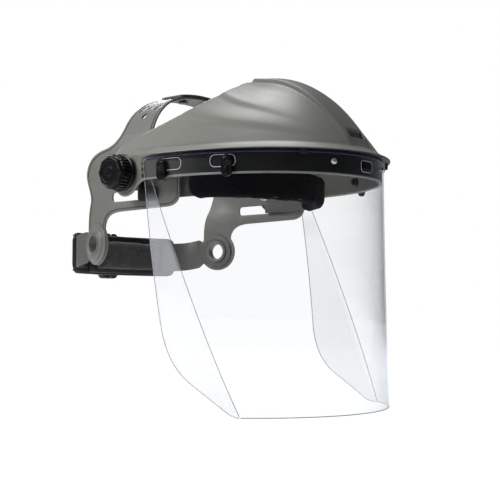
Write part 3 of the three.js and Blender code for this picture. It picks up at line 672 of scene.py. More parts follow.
def panel_slab():
    """The raised panel down the middle of the dome, with the vent recess at its foot."""
    xs = np.concatenate([np.linspace(-23.5, -10.6, 26), [-10.1], np.linspace(-9, 9, 11), [10.1],
                         np.linspace(10.6, 23.5, 26)])
    ks = np.concatenate([np.linspace(0.74, 0.877, 10), [0.883, 0.9, 0.924, 0.929],
                         np.linspace(0.94, 0.985, 7)])
    rear = -27.0
    columns = []
    for x in xs:
        turn = np.arcsin(np.clip(x / (ks * BAND_A), -1, 1))
        y_low = APEX_Y + ks * (-BAND_B * np.cos(turn) - APEX_Y)
        y = np.concatenate([np.linspace(rear, y_low[0], 60)[:-1], y_low])
        z, k, _ = dome_height(np.full_like(y, x), y)
        edge = smooth((panel_half(y) + 3 - abs(x)) / 3) * smooth((1 - k) / 0.10)
        inside = abs(x) < VENT_HALF
        slot_depth = VENT_DEPTH * inside * ((k > VENT_FROM) & (k < VENT_TO))
        plate_depth = 0.7 * inside * (k >= VENT_TO) * smooth((1 - k) / 0.04)
        top = z + PANEL_RISE * edge - slot_depth - plate_depth
        columns.append((np.stack([np.full_like(y, x), y, top], 1),
                        np.stack([np.full_like(y, x), y, z - 1.6], 1)))
    outer = np.array([c[0] for c in columns])
    inner = np.array([c[1] for c in columns])
    return plate("panel_slab", outer, inner)


def band_hole(y, z, radius):
    phi = -phi_at(y)
    return lathe("hole", [(0, -8), (radius, -8), (radius, 8), (0, 8)],
                 ring_points(phi, 0, z), band_normal(phi), 32, 0.01)


# Strengths of the painted shade inside the band and in the vent recess.
BAND_INSIDE_SHADE, VENT_SHADE = 0.4, 0.9


def mark_painted_shade(obj):
    """Two attributes of painted shade: one for the band below the brim, the inside of the band and the
    vent recess, and one for the central panel.
    """
    mesh = obj.data
    co = np.zeros(len(mesh.vertices) * 3)
    mesh.vertices.foreach_get("co", co)
    x, y, z = (co.reshape(-1, 3) / MM).T
    out = np.hypot(x / BAND_A, y / BAND_B)
    # Painted shade under the brim, deepest towards the front.
    low = smooth((17.6 - z) / 0.8) * smooth((out - 0.992) / 0.004)
    value = low * (0.6 + 0.4 * smooth((10 - y) / 60)) * smooth((18 - y) / 5)
    # Painted shade on the inside of the band, near its top.
    within = smooth((BAND_TOP + 6 - z) / 4) * smooth((0.988 - out) / 0.004) * smooth((30 - y) / 12)
    value = np.maximum(value, BAND_INSIDE_SHADE * within)
    dome, k, _ = dome_height(x, y)
    # Painted shade in the vent recess.
    recess = (np.abs(x) < VENT_HALF + 0.1) & (z > BAND_TOP + 3)
    recess &= (k > VENT_FROM - 0.002) & (k < VENT_TO + 0.001)
    value = np.where(recess & (np.abs(z - dome - 0.2) < 1.0), VENT_SHADE, value)
    attribute = mesh.attributes.new("band", "FLOAT", "POINT")
    attribute.data.foreach_set("value", value.astype(np.float32))
    # Painted shade on the central panel, which faces away from the light.
    painted_panel_shade = smooth((panel_half(y) + 2.8 - np.abs(x)) / 1.0) * smooth((z - BAND_TOP - 4) / 3)
    attribute = mesh.attributes.new("painted_panel_shade", "FLOAT", "POINT")
    attribute.data.foreach_set("value", painted_panel_shade.astype(np.float32))


def build_crown():
    crown = crown_body(0.0, -30.0, "crown_shell")
    boolean(crown, panel_slab(), "UNION")
    boolean(crown, crown_body(WALL, -45.0, "crown_room"), "DIFFERENCE")
    edge = crown_edge_line()
    outline = [(-160, 0)] + edge + [(-160, 110)]
    boolean(crown, prism("outline", outline, 140), "INTERSECT")
    for side in (1, -1):
        deep = BOSS_FACE_X - BOSS_BACK_X
        boss = lathe("boss", [(0, 0), (15, 0), (15, deep), (0, deep)],
                     (side * BOSS_BACK_X, PIVOT_Y, PIVOT_Z), (side, 0, 0), 96, 0.5)
        boolean(crown, boss, "UNION")
        bore = lathe("bore", [(0, 0), (12, 0), (12, 8), (4.4, 8), (4.4, 20), (0, 20)],
                     (side * (BOSS_BACK_X - 8), PIVOT_Y, PIVOT_Z), (side, 0, 0), 96, 0.01)
        boolean(crown, bore, "DIFFERENCE")
    for z in (2.4, 7.2, 12.0):
        for mirror in (1, -1):
            hole = band_hole(14.5, z, 1.7)
            if mirror < 0:
                hole.data.transform(Matrix.Scale(-1, 4, (1, 0, 0)))
                hole.data.flip_normals()
            boolean(crown, hole, "DIFFERENCE")
    mark_painted_shade(crown)
    finish_piece(crown, "visor", MAT["crown"], "crown", "crown", angle=30)
    bead = crown_bead(edge)
    # The rolled edge's lighter grey is a painted highlight along the rim.
    finish_piece(bead, "visor", MAT["edge"], "crown")
    return crown


def rim_point(y, z):
    """Point of the wall's middle surface at a height and a place along the object, at +X."""
    inset = WALL / 2
    if z <= BAND_TOP:
        phi = math.acos(np.clip(-y / (BAND_B - inset), -1, 1))
        return ring_points(phi, -inset, z)
    low, high = 0.0, math.pi
    for _ in range(40):
        phi = (low + high) / 2
        k = max(0.0, 1 - (z - BAND_TOP) / (DOME_RISE - inset)) ** (1 / float(dome_power(phi)))
        ex, ey = ring(phi, -inset)
        if APEX_Y + k * (ey - APEX_Y) < y:
            low = phi
        else:
            high = phi
    return np.array([float(ex) * k, y, z])


def crown_bead(edge):
    """Rounded edge that runs round the whole crown."""
    front = phi_at(PIVOT_Y - 24)
    lower = [ring_points(p, -WALL / 2, 0) for p in np.linspace(0, front, 90)]
    crest = BAND_TOP + DOME_RISE - WALL / 2
    upper = [rim_point(y, z) for y, z in edge[1:] if z < crest - 0.4]
    top_y = np.interp(crest, [p[1] for p in edge[-12:]], [p[0] for p in edge[-12:]])
    last = upper[-1]
    for x, t in zip(np.linspace(last[0], 0, 12)[1:], np.linspace(0, 1, 12)[1:]):
        rise = (crest - last[2]) * (1 - (1 - t) ** 2)
        upper.append(np.array([x, last[1] + (top_y - last[1]) * t, last[2] + rise]))
    half = np.array(lower + upper)
    on_panel = smooth((PANEL_HALF + 3 - np.abs(half[:, 0])) / 3)
    half[:, 2] += PANEL_RISE * 0.5 * on_panel * (half[:, 2] > 60)
    other = half[::-1][1:-1] * np.array([-1, 1, 1])
    return tube("crown_rolled_edge", np.concatenate([half, other]), WALL / 2 + 0.1, 12, closed=True)


build_crown()


# ------------------------------------------------------------------ small parts of the crown
def band_matrix(phi, offset, z):
    """Matrix on the band's outside: X along the band, Y up, Z outwards."""
    normal = band_normal(phi)
    along = Vector((0, 0, 1)).cross(normal)
    start = Vector(ring_points(phi, 0, z).tolist()) + normal * offset
    matrix = Matrix((along, Vector((0, 0, 1)), normal)).transposed().to_4x4()
    matrix.translation = start
    return matrix


def slot_outline(x0, x1, y0, y1, radius, steps=6):
    corners = [(x0, y0), (x1, y0), (x1, y1), (x0, y1)]
    return rounded(corners, radius * 1.0, steps)


def block(name, outline, depth, matrix, width=0.3):
    """Upright prism of an outline in a frame's own X and Y, with rounded edges."""
    loops = [place([(x, y, z) for x, y in outline], matrix) for z in (0, depth)]
    obj = loft(name, loops)
    return bevel(obj, width, 50) if width else obj


lug = block("crown_centre_lug", slot_outline(-5.6, 5.6, -3, 3, 1.6), 2.5,
            band_matrix(0, 0, LUG_Z), 0.4)
finish_piece(lug, "visor", MAT["black"], "crown")
for side_name, side in SIDES:
    hook = block(f"crown_hook_{side_name}", slot_outline(-3, 3, 0, 5, 1), 1.8,
                 band_matrix(side * math.radians(33), 3.6, BRIM_Z - 4), 0.3)
    # Painted shade: the hooks sit in the shadow under the brim's lip and are made black, not crown
    # grey.
    finish_piece(hook, "visor", MAT["black_satin"], "crown")


# ------------------------------------------------------------------ window
def window_drop(z):
    return np.clip(z / WINDOW_BOTTOM, 0, 1)


def window_half(z):
    t = window_drop(z)
    return BAND_A + GAP + 4 * t + 9 * t * t


def crease_y(z):
    return 4 - 83 * window_drop(z)


def window_side_line():
    """Side edge of the window in the side view, from the bottom corner up."""
    line = curve_points(((-79, WINDOW_BOTTOM), (-73, -184), (-68, -182)), 0.02, 1, 8)
    line += [tuple(p) for p in np.linspace((-68, -182), (-36, -163), 12)[1:-1]]
    line += curve_points(((-36, -163), (-10, -150), (-5, -118)), 0, 1, 16)
    top = BRIM_END_Y - 1
    line += [tuple(p) for p in np.linspace((-5, -118), (top, WINDOW_TOP - 4), 30)[1:-1]]
    corner = (top, WINDOW_TOP)
    line += curve_points(((top, WINDOW_TOP - 4), corner, (top - 4, WINDOW_TOP)), 0, 0.98, 8)
    return np.array(line)


def window_grid(offset, columns=73, wing=9):
    line = window_side_line()
    levels = line[:, 1]
    grid = []
    for y_edge, z in line:
        a, b = window_half(z) + offset, BAND_B + GAP + offset
        crease_phi = math.acos(-crease_y(z) / b)
        s = np.linspace(-1, 1, columns) * crease_phi
        front = np.stack([a * np.sin(s), -b * np.cos(s), np.full(columns, z)], 1)
        back = np.linspace(0, y_edge - crease_y(z), wing)[1:]
        x = a * math.sin(crease_phi) - 0.02 * back
        wing_points = np.stack([x, crease_y(z) + back, np.full(wing - 1, z)], 1)
        mirror = wing_points[::-1] * np.array([-1, 1, 1])
        grid.append(np.concatenate([mirror, front, wing_points]))
    return np.array(grid), levels


HAZE, HAZE_FROM_Z, HAZE_RUN = 0.17, -10, 16


def mark_window(obj):
    """Attribute for the milky wings, edge faces in the second slot, and a sharp crease."""
    mesh = obj.data
    bm = bmesh.new()
    bm.from_mesh(mesh)
    haze = bm.verts.layers.float.new("haze")
    for v in bm.verts:
        y, z = v.co.y / MM, v.co.z / MM
        wing = smooth((y - float(crease_y(z)) - 0.2) / 0.6)
        v[haze] = HAZE * float(wing) * float(smooth((HAZE_FROM_Z - z) / HAZE_RUN))
    for f in bm.faces:
        c = f.calc_center_median() / MM
        a = float(window_half(c.z))
        side = Vector((c.x / a ** 2, c.y / BAND_B ** 2, 0)).normalized()
        if c.y > crease_y(c.z):
            side = Vector((math.copysign(1, c.x), 0.02, 0)).normalized()
        f.material_index = 1 if abs(f.normal.dot(side)) < 0.6 else 0
        f.smooth = True
    for e in bm.edges:
        on_crease = all(abs(v.co.y / MM - float(crease_y(v.co.z / MM))) < 0.02 for v in e.verts)
        low = e.calc_length() > 1e-9 and min(v.co.z for v in e.verts) / MM < -12
        turn = e.calc_face_angle(0) if len(e.link_faces) == 2 else 0
        e.smooth = not (on_crease and low) and turn < math.radians(40)
    bm.to_mesh(mesh)
    bm.free()


TAB_SLOTS = {"right_rear": (-5.5, 17.5), "right_front": (-14, 6),
             "left_front": (-6, 14), "left_rear": (-17.5, 5.5)}
TAB_SLOT_Z = STUD_Z - 0.2


def tab_slot_outline(tab):
    return slot_outline(*TAB_SLOTS[tab], -4.6, 4.6, 4.6, 8)


def centre_slot_outline():
    return slot_outline(-7.4, 7.4, -4.4, 4.4, 2.6, 5)


def build_window():
    outer, _ = window_grid(WINDOW_T)
    inner, _ = window_grid(0.0)
    window = plate("window_sheet", outer, inner)
    cuts = [(tab_slot_outline(tab), tab_phi(tab), TAB_SLOT_Z) for tab in TAB_SLOTS]
    for outline, phi, z in cuts + [(centre_slot_outline(), 0, LUG_Z)]:
        boolean(window, block("slot", outline, 10, band_matrix(phi, -4, z), 0), "DIFFERENCE")
    mark_window(window)
    window.data.materials.clear()
    window.data.materials.append(MAT["window"])
    window.data.materials.append(MAT["window_edge"])
    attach(window, "visor")
    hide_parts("window")
    for side_name, side in SIDES:
        line = [window_crease(z, side) for z in np.linspace(WINDOW_BOTTOM + 1, -2, 60)]
        crease = tube(f"window_crease_{side_name}", line, 0.28, 8)
        finish_piece(crease, "visor", MAT["window_edge"], "window")
    top = [ring_points(p, GAP + WINDOW_T / 2, WINDOW_TOP)
           for p in np.linspace(-phi_at(BRIM_END_Y - 5), phi_at(BRIM_END_Y - 5), 160)]
    finish_piece(tube("window_top_edge", top, 0.42, 8), "visor", MAT["window_top"], "window")
    side_line = window_side_line()
    for side_name, side in SIDES:
        line = [window_margin(y, z, side) for y, z in side_line[1:]]
        margin = tube(f"window_margin_{side_name}", line, 0.3, 8)
        finish_piece(margin, "visor", MAT["window_edge"], "window")
    a, b = window_half(WINDOW_BOTTOM) + WINDOW_T / 2, BAND_B + GAP + WINDOW_T / 2
    reach = math.acos(79 / b)
    lower = [(a * math.sin(p), -b * math.cos(p), WINDOW_BOTTOM + 0.3)
             for p in np.linspace(-reach, reach, 120)]
    margin = tube("window_margin_lower", lower, 0.3, 8)
    finish_piece(margin, "visor", MAT["window_edge"], "window")
    for tab in TAB_SLOTS:
        slot_highlight(f"window_slot_rim_{tab}", tab_slot_outline(tab), tab_phi(tab), TAB_SLOT_Z)
    slot_highlight("window_slot_rim_centre", centre_slot_outline(), 0.0, LUG_Z)


def window_margin(y, z, side):
    """Point in the middle of the sheet's thickness at a place of the side view."""
    a, b = window_half(z) + WINDOW_T / 2, BAND_B + GAP + WINDOW_T / 2
    if y < crease_y(z):
        return np.array([side * float(a) * math.sin(math.acos(-y / b)), y, z])
    back = y - crease_y(z)
    crease = float(a) * math.sin(math.acos(-crease_y(z) / b))
    return np.array([side * (crease - 0.02 * float(back)), y, z])


def window_crease(z, side):
    """Point on the outer face's moulded crease at a height."""
    a, b = window_half(z) + WINDOW_T, BAND_B + GAP + WINDOW_T
    phi = math.acos(-crease_y(z) / b)
    return np.array([side * float(a) * math.sin(phi), float(crease_y(z)), z])


def slot_highlight(name, outline, phi, z):
    """Painted highlight: a light-grey bead round a slot of the window, standing for the light its cut
    edge catches.
    """
    flat = place([(x, y, 0) for x, y in resample(outline, 0.9)], band_matrix(phi, 0, z))
    points = []
    for x, y, level in flat:
        turn = math.atan2(x / BAND_A, -y / BAND_B)
        points.append(ring_points(turn, GAP + WINDOW_T, level))
    finish_piece(tube(name, points, 0.24, 8, closed=True), "visor", MAT["window_slot_highlight"], "window")


def tab_phi(tab):
    x, y, _ = (v / MM for v in JOINTS[f"tab_turn_{tab}"]["pos_m"])
    return math.atan2(x / BAND_A, -y / BAND_B)


build_window()


# ------------------------------------------------------------------ window fasteners
for tab in TABS:
    joint = JOINTS[f"tab_turn_{tab}"]
    base, out = np.array(joint["pos_m"]) / MM, joint["axis"]
    polished(f"window_tab_{tab}", f"tab_{tab}", MAT["black"], "black_plastic", 0.55)
    head = GAP + WINDOW_T + GAP + 2.8 - 1 + GAP
    stud = lathe(f"tab_stud_{tab}_fine",
                 [(0, -6.5), (STUD_R, -6.5), (STUD_R, head), (3.2, head), (3.2, head + 0.9),
                  (2.0, head + 1.5), (1.1, head + 1.5), (0.9, head + 1.1), (0, head + 1.1)],
                 base, out, 48, 0.25)
    finish_piece(stud, "visor", MAT["black"], "black_plastic", f"tab_stud_{tab}")
    bore, low, high = STUD_R + GAP, -WALL - 3.3, -WALL - GAP
    nut = lathe(f"tab_nut_{tab}_fine", [(bore, low), (3.4, low), (3.4, high), (bore, high)],
                base, out, 48, 0.4)
    finish_piece(nut, "visor", MAT["black_satin"], "black_plastic", f"tab_nut_{tab}")

for side_name, side in SIDES:
    phi = side * math.asin(FRONT_STUD_X / BAND_A)
    head = GAP + WINDOW_T + GAP
    stud = lathe(f"front_stud_{side_name}_fine",
                 [(0, -WALL - 1.5), (1.5, -WALL - 1.5), (1.5, head), (2.7, head), (2.6, head + 0.8),
                  (1.9, head + 1.5), (0.9, head + 1.7), (0, head + 1.7)],
                 ring_points(phi, 0, STUD_Z), band_normal(phi), 48, 0.3)
    finish_piece(stud, "visor", MAT["steel"], "steel", f"front_stud_{side_name}")


# ------------------------------------------------------------------ pivots and side knobs
RIBS = 28
CAP_R = 13.2


def rib_radius(angles):
    wave = (angles * RIBS / (2 * math.pi)) % 1.0
    return 12.7 + 1.3 * smooth((0.30 - np.abs(wave - 0.5)) / 0.1)


def cap_radius(shrink):
    def radius(angles):
        eighth = math.pi / 4
        folded = (angles % eighth) - eighth / 2
        flat = CAP_R * math.cos(eighth / 2) / np.cos(folded)
        return np.minimum(flat, CAP_R - 0.25) - shrink
    return radius


KNOB_STEPS = 448
CAP_PROFILE = ((11.9, 0.5), (12.1, 0.12), (12.4, 0), (13.5, 0.05), (14.1, 0.35), (14.6, 0.95),
               (14.9, 1.5), (15.0, 1.9))


def build_knob(side_name, side):
    radii = [(0.0, 6.0), (0.0, 15.0), (0.25, 15.3), (0.8, 15.4), (2.3, 15.4), (2.9, 15.15),
             (3.3, 14.5), (3.4, 13.6), (3.55, 12.9), (3.9, rib_radius), (11.2, rib_radius),
             (11.5, 12.75), (11.7, 12.4)]
    radii += [(height, cap_radius(shrink)) for height, shrink in CAP_PROFILE]
    radii += [(15.0, 9.2), (14.9, 8.9), (14.65, 8.7), (14.6, 8.4), (14.6, 3.4), (14.7, 3.2),
              (14.9, 3.0), (14.9, 0.05)]
    knob = turned(f"side_knob_{side_name}_fine", radii, (side * KNOB_X, PIVOT_Y, PIVOT_Z),
                  (side, 0, 0), KNOB_STEPS)
    finish_piece(knob, f"knob_{side_name}", MAT["black"], "black_plastic",
                 f"side_knob_{side_name}", angle=34)


for side_name, side in SIDES:
    build_knob(side_name, side)
    polished(f"pivot_hub_{side_name}", "headgear", MAT["black_satin"], "black_plastic", 0.4)
    polished(f"friction_washer_{side_name}", "headgear", MAT["black_satin"], "black_plastic", 0.2)
    polished(f"knob_insert_{side_name}", f"knob_{side_name}", MAT["steel"], "steel", 0.2)
    head_x = (SIDE_X - GAP - 2.4) * side
    bolt = lathe(f"pivot_bolt_{side_name}_fine",
                 [(0, 0.9), (3.0, 0.9), (3.2, 0), (7, 0), (8, 1), (8, 2.4), (4, 2.4), (4, 32),
                  (0, 32)],
                 (head_x, PIVOT_Y, PIVOT_Z), (side, 0, 0), 72, 0.35)
    finish_piece(bolt, "headgear", MAT["steel"], "steel", f"pivot_bolt_{side_name}")


# ------------------------------------------------------------------ flat mouldings with a raised rim
def outline_mesh(outline, holes):
    """Flat filled outline with holes, as a bmesh in the XY plane."""
    bm = bmesh.new()
    for line in [outline, *holes]:
        verts = [bm.verts.new((p[0], p[1], 0)) for p in line]
        for a, b in zip(verts, verts[1:] + verts[:1]):
            bm.edges.new((a, b))
    bmesh.ops.triangle_fill(bm, edges=bm.edges, use_beauty=True)
    for f in bm.faces:
        if f.normal.z < 0:
            f.normal_flip()
    return bm


def rimmed_plate(name, outline, holes, thickness, bend, rim=1.5, groove=0.45, cuts=()):
    """Plate of an outline with a bead along its edge; bend takes (u, v, height) to the object.
    cuts are (axis, place) lines along which the flat is divided, so that it can bend."""
    bm = outline_mesh(resample(outline, 2.2), [resample(h, 1.0) for h in holes])
    inner = bmesh.ops.inset_region(bm, faces=bm.faces[:], thickness=rim, use_even_offset=True)
    inner_faces = [f for f in bm.faces if f not in set(inner["faces"])]
    ring_inset = bmesh.ops.inset_region(bm, faces=inner_faces, thickness=0.35, use_even_offset=True)
    floor = {v for f in bm.faces for v in f.verts
             if f not in set(inner["faces"]) and f not in set(ring_inset["faces"])}
    for v in floor:
        v.co.z = -groove
    for axis, where in cuts:
        normal = (1, 0, 0) if axis == 0 else (0, 1, 0)
        origin = (where, 0, 0) if axis == 0 else (0, where, 0)
        bmesh.ops.bisect_plane(bm, geom=bm.verts[:] + bm.edges[:] + bm.faces[:], plane_co=origin,
                               plane_no=normal, dist=1e-4)
    top = {v: v.co.copy() for v in bm.verts}
    lower = bmesh.ops.duplicate(bm, geom=bm.verts[:] + bm.edges[:] + bm.faces[:])
    mapping = lower["vert_map"]
    boundary = [e for e in bm.edges
                if len(e.link_faces) == 1 and e.verts[0] in top and e.verts[1] in top]
    for v, co in top.items():
        mapping[v].co = (co.x, co.y, -thickness)
    for f in [g for g in lower["geom"] if isinstance(g, bmesh.types.BMFace)]:
        f.normal_flip()
    for e in boundary:
        a, b = e.verts
        bm.faces.new((a, b, mapping[b], mapping[a]))
    for v in bm.verts:
        v.co = Vector(bend(*v.co)) * MM
    bmesh.ops.recalc_face_normals(bm, faces=bm.faces)
    mesh = bpy.data.meshes.new(name)
    bm.to_mesh(mesh)
    bm.free()
    obj = bpy.data.objects.new(name, mesh)
    SCENE.collection.objects.link(obj)
    return bevel(obj, 0.3, 55, 2)


# ------------------------------------------------------------------ headband side halves
ARCH_STEPS = np.linspace(0, math.pi / 2, 60)
ARCH_SHAPE = 2 / 2.2


def arch_tables():
    """Length along the crown strap's profile, from its base over the head, with x and height."""
    a, b = SIDE_X, ARCH_TOP - ARCH_BASE
    x = a * np.cos(ARCH_STEPS) ** ARCH_SHAPE
    z = ARCH_BASE + b * np.sin(ARCH_STEPS) ** ARCH_SHAPE
    x = np.concatenate([x, -x[-2::-1]])
    z = np.concatenate([z, z[-2::-1]])
    q = np.concatenate([[0], np.cumsum(np.hypot(np.diff(x), np.diff(z)))]) + ARCH_BASE
    return q, x, z


ARCH_Q, ARCH_X, ARCH_Z = arch_tables()
ARCH_MID = float(ARCH_Q[len(ARCH_Q) // 2])


def strap_length(z):
    """Length along the profile at which a height of the side view lies."""
    half = len(ARCH_Q) // 2 + 1
    return float(np.interp(z, ARCH_Z[:half], ARCH_Q[:half])) if z > ARCH_BASE else z


def headband_outline(past):
    """Flat outline of a half: panel with its tongue, leg to the eyelet and crown strap."""
    rear, front = STRAP_Y + STRAP_HALF, STRAP_Y - STRAP_HALF
    left = [(5, -21.4), (60, -22.4)]
    left += curve_points(((60, -22.4), (73, -22.8), (79, -27), (79.6, -36)), 0.1, 1, 9)
    left += arc((EYELET_Y, EYELET_Z), EYELET_R, 142, 398, 40)
    ear = left[-1]
    left += curve_points((ear, (107.5, -24), (106, -17), (102.6, -10)), 0.1, 1, 8)
    left += curve_points(((102.6, -10), (101, -6), (101.2, 2)), 0.2, 1, 4)
    left += curve_points(((101.2, 10), (101, 22), (93, 29), (80, 31.4)), 0, 1, 12)
    left += curve_points(((80, 31.4), (70, 33), (62.5, 38), (61.5, 48)), 0.1, 1, 10)
    left += curve_points(((61.5, 48), (62, 62), (rear - 1, 72)), 0.1, 1, 10)
    right = curve_points(((front, ARCH_TOP - 1), (28, 66), (26, 42)), 0, 1, 14)
    right += curve_points(((26, 42), (20, 22), (4, 10)), 0.1, 1, 10)
    right += rounded([(4, 10), (-8, 6.5), (-8, -10)], 4, 5, closed=False)[1:-1].tolist()
    right += curve_points(((-8, -10), (-8, -20.5), (5, -21.4)), 0, 0.94, 8)
    low = [(y, strap_length(z)) for y, z in left]
    high = [(y, strap_length(z)) for y, z in right]
    end = ARCH_MID + past
    over = curve_points((low[-1], (rear, low[-1][1] + 8), (rear, ARCH_MID - 30)), 0.2, 1, 5)
    over += [(rear, v) for v in np.linspace(ARCH_MID - 24, end - 8, 12)]
    tip = [(rear, end - 8), (rear, end), (front, end), (front, end - 8)]
    over += rounded(tip, 8, 6, closed=False)[1:-1].tolist()
    over += [(front, v) for v in np.linspace(end - 9, high[0][1] + 4, 14)]
    return low + over + high


def capsule(y, z, length, width, turn):
    """Long round-ended hole in the side view, turned by an angle in degrees."""
    c, s = math.cos(math.radians(turn)), math.sin(math.radians(turn))
    half = (length - width) / 2
    points = arc((half, 0), width / 2, -90, 90, 9) + arc((-half, 0), width / 2, 90, 270, 9)
    return [(y + u * c - v * s, z + u * s + v * c) for u, v in points]


def headband_holes(peg_r):
    side = [slot_outline(15, 69, -14, -6, 3.5, 6).tolist(),
            arc((EYELET_Y, EYELET_Z), 8.6 + GAP, 0, 351, 40),
            arc((PIVOT_Y, PIVOT_Z), 4 + GAP, 0, 345, 24)]
    upper = [capsule(55.7, 63.9, 5.6, 1.9, 106), capsule(47, 65.3, 2.7, 2.2, 0),
             capsule(37.9, 64.7, 5.8, 1.9, 100), capsule(45, 57, 5.4, 4.4, 90)]
    flat = side + [[(y, strap_length(z)) for y, z in hole] for hole in upper]
    for across in (-14, 14):
        flat.append(arc((STRAP_Y, ARCH_MID + across), peg_r, 0, 345, 20))
    for across in (-58, -46, -34):
        flat.append(arc((STRAP_Y, ARCH_MID + across), 1.4, 0, 345, 16))
    return flat


TUCK = math.radians(15)
TUCK_START, TUCK_RUN = 66.0, 20.0


def tuck(y):
    """How far the legs bend in towards the neck, and the slope of that bend."""
    past = max(0.0, y - TUCK_START)
    slope = math.tan(TUCK) * min(1.0, past / TUCK_RUN)
    bent = min(past, TUCK_RUN)
    return math.tan(TUCK) * (bent * bent / 2 / TUCK_RUN + max(0.0, past - TUCK_RUN)), slope


def leg_share(z):
    """1 on the leg below the panel, 0 above it."""
    return float(smooth((12 - z) / 26))


def headband_bend(side, lap):
    def bend(y, q, height):
        """height is measured outwards from the plate's outer face."""
        z = float(np.interp(q, ARCH_Q, ARCH_Z)) if q > ARCH_BASE else q
        x = float(np.interp(q, ARCH_Q, ARCH_X)) if q > ARCH_BASE else SIDE_X
        step = 0.5
        if q > ARCH_BASE + step:
            dx = np.interp(q + step, ARCH_Q, ARCH_X) - np.interp(q - step, ARCH_Q, ARCH_X)
            dz = np.interp(q + step, ARCH_Q, ARCH_Z) - np.interp(q - step, ARCH_Q, ARCH_Z)
            out = Vector((dz, 0, -dx)).normalized()
        else:
            out = Vector((1, 0, 0))
        raised = lap * float(smooth((q - ARCH_MID + 55) / 25))
        inward, slope = tuck(y)
        out = (out + Vector((0, slope * leg_share(z), 0))).normalized()
        point = Vector((x - inward * leg_share(z), y, z)) + out * (SIDE_T + height + raised)
        return (point.x * side, point.y, point.z)
    return bend


def eyelet_place(side, out):
    """Point on an eyelet's axis at a distance out from the panel's inner face, and the axis."""
    inward, slope = tuck(EYELET_Y)
    axis = Vector((side, slope, 0)).normalized()
    return Vector((side * (SIDE_X - inward), EYELET_Y, EYELET_Z)) + axis * out, axis


def inset_line(outline, inset):
    """Closed outline moved inwards, without the loops this gives at tight corners."""
    points = np.asarray(resample(outline, 1.5), float)
    ahead = np.roll(points, -1, 0) - np.roll(points, 1, 0)
    ahead /= np.linalg.norm(ahead, axis=1)[:, None]
    after = np.roll(points, -1, 0)
    area = np.sum(points[:, 0] * after[:, 1] - points[:, 1] * after[:, 0])
    inward = np.stack([-ahead[:, 1], ahead[:, 0]], 1) * math.copysign(1, area)
    moved = points + inward * inset
    clear = np.min(np.linalg.norm(moved[:, None] - points[None], axis=2), axis=1)
    return moved[clear > inset * 0.95]


SHADOW_LINE_INSET, SHADOW_LINE_R, SHADOW_LINE_DEPTH = 2.2, 0.7, 0.8


def build_headband(side_name, side, past, lap, peg_r):
    cuts = [(1, q) for q in np.linspace(ARCH_BASE + 2, ARCH_MID + past - 2, 58)]
    outline, bend = headband_outline(past), headband_bend(side, lap)
    band = rimmed_plate(f"headband_{side_name}_fine", outline, headband_holes(peg_r), SIDE_T, bend,
                        cuts=cuts)
    finish_piece(band, "headgear", MAT["headband"], "headband_grey", f"headband_{side_name}",
                 angle=42)
    # Painted shadow: a dark tube along the groove inside the edge, for the shade that falls there.
    seam = tube(f"headband_shadow_line_{side_name}",
                [bend(y, q, -SHADOW_LINE_DEPTH) for y, q in inset_line(outline, SHADOW_LINE_INSET)],
                SHADOW_LINE_R, 8, closed=True)
    finish_piece(seam, "headgear", MAT["seam"], "headband_grey")
    dome = lathe(f"eyelet_dome_{side_name}",
                 [(8.9, 0), (17.6, 0), (17.6, 1.9), (16.6, 2.3), (14.8, 2.5), (14.2, 3.6),
                  (13.4, 4.3), (11.6, 4.5), (11.2, 3.9), (10.2, 3.8), (9.9, 4.5), (8.9, 4.5)],
                 *eyelet_place(side, 0.4), 96, 0.45)
    finish_piece(dome, "headgear", MAT["eyelet"], "headband_grey")


build_headband("left", 1, 30, SIDE_T + GAP, 3.2)
build_headband("right", -1, 30, 0.0, STUD_R + GAP)
for i in (1, 2):
    polished(f"strap_peg_{i}", "headgear", MAT["headband"], "headband_grey", 0.3)


# ------------------------------------------------------------------ level sweeps
def level_normals(line):
    ahead = np.gradient(line, axis=0)
    ahead /= np.linalg.norm(ahead, axis=1)[:, None]
    return np.stack([ahead[:, 1], -ahead[:, 0]], 1)


def sweep(name, line, section_at, corner=0.5):
    """Sweep of an (outward, z) section along a level line of (x, y) points."""
    line = np.asarray(line, float)
    normals = level_normals(line)
    loops = []
    for i, (p, n) in enumerate(zip(line, normals)):
        section = rounded(section_at(i / (len(line) - 1)), corner, 3)
        loops.append([(p[0] + n[0] * d, p[1] + n[1] * d, z) for d, z in section])
    return loft(name, loops)


def brow_line(steps=80):
    arc_points = [(BROW_A * math.sin(a), BROW_Y - BROW_B * math.cos(a))
                  for a in np.linspace(-math.pi / 2, math.pi / 2, steps)]
    tail = [(-BROW_A - 2.4, BROW_TAIL_Y), (-BROW_A - 2.3, 28), (-BROW_A - 2, 16), (-BROW_A - 0.8, 4)]
    return tail + arc_points + [(-x, y) for x, y in reversed(tail)]


def build_brow_band():
    half = BROW_T / 2

    def section(u):
        end = min(u, 1 - u)
        top = -5 + (BROW_HIGH + 5) * float(smooth((end - 0.025) / 0.02))
        return [(-half, BROW_LOW), (half, BROW_LOW), (half, top), (-half, top)]

    band = sweep("brow_band_fine", brow_line(), section, 0.6)
    finish_piece(band, "headgear", MAT["strap"], "strap_grey", "brow_band")


build_brow_band()
for side_name in ("left", "right"):
    polished(f"slide_block_{side_name}", "headgear", MAT["black_satin"], "black_plastic", 0.5)


# ------------------------------------------------------------------ nape straps and ratchet
STRAP_X = SIDE_X - GAP - NAPE_T / 2


def nape_path(shift):
    """Level (x, y) line of a nape strap from its eyelet round the back to the middle."""
    back, start = NAPE_BACK + shift, EYELET_Y + 10
    corner = [(STRAP_X * math.cos(a) + shift * math.sin(a) * math.cos(a),
               start + (back - start) * math.sin(a) ** 0.8) for a in np.linspace(0, math.pi / 2, 60)]
    straight = [(STRAP_X, y) for y in np.linspace(EYELET_Y - 20, start, 12)[:-1]]
    return np.array(straight + corner)


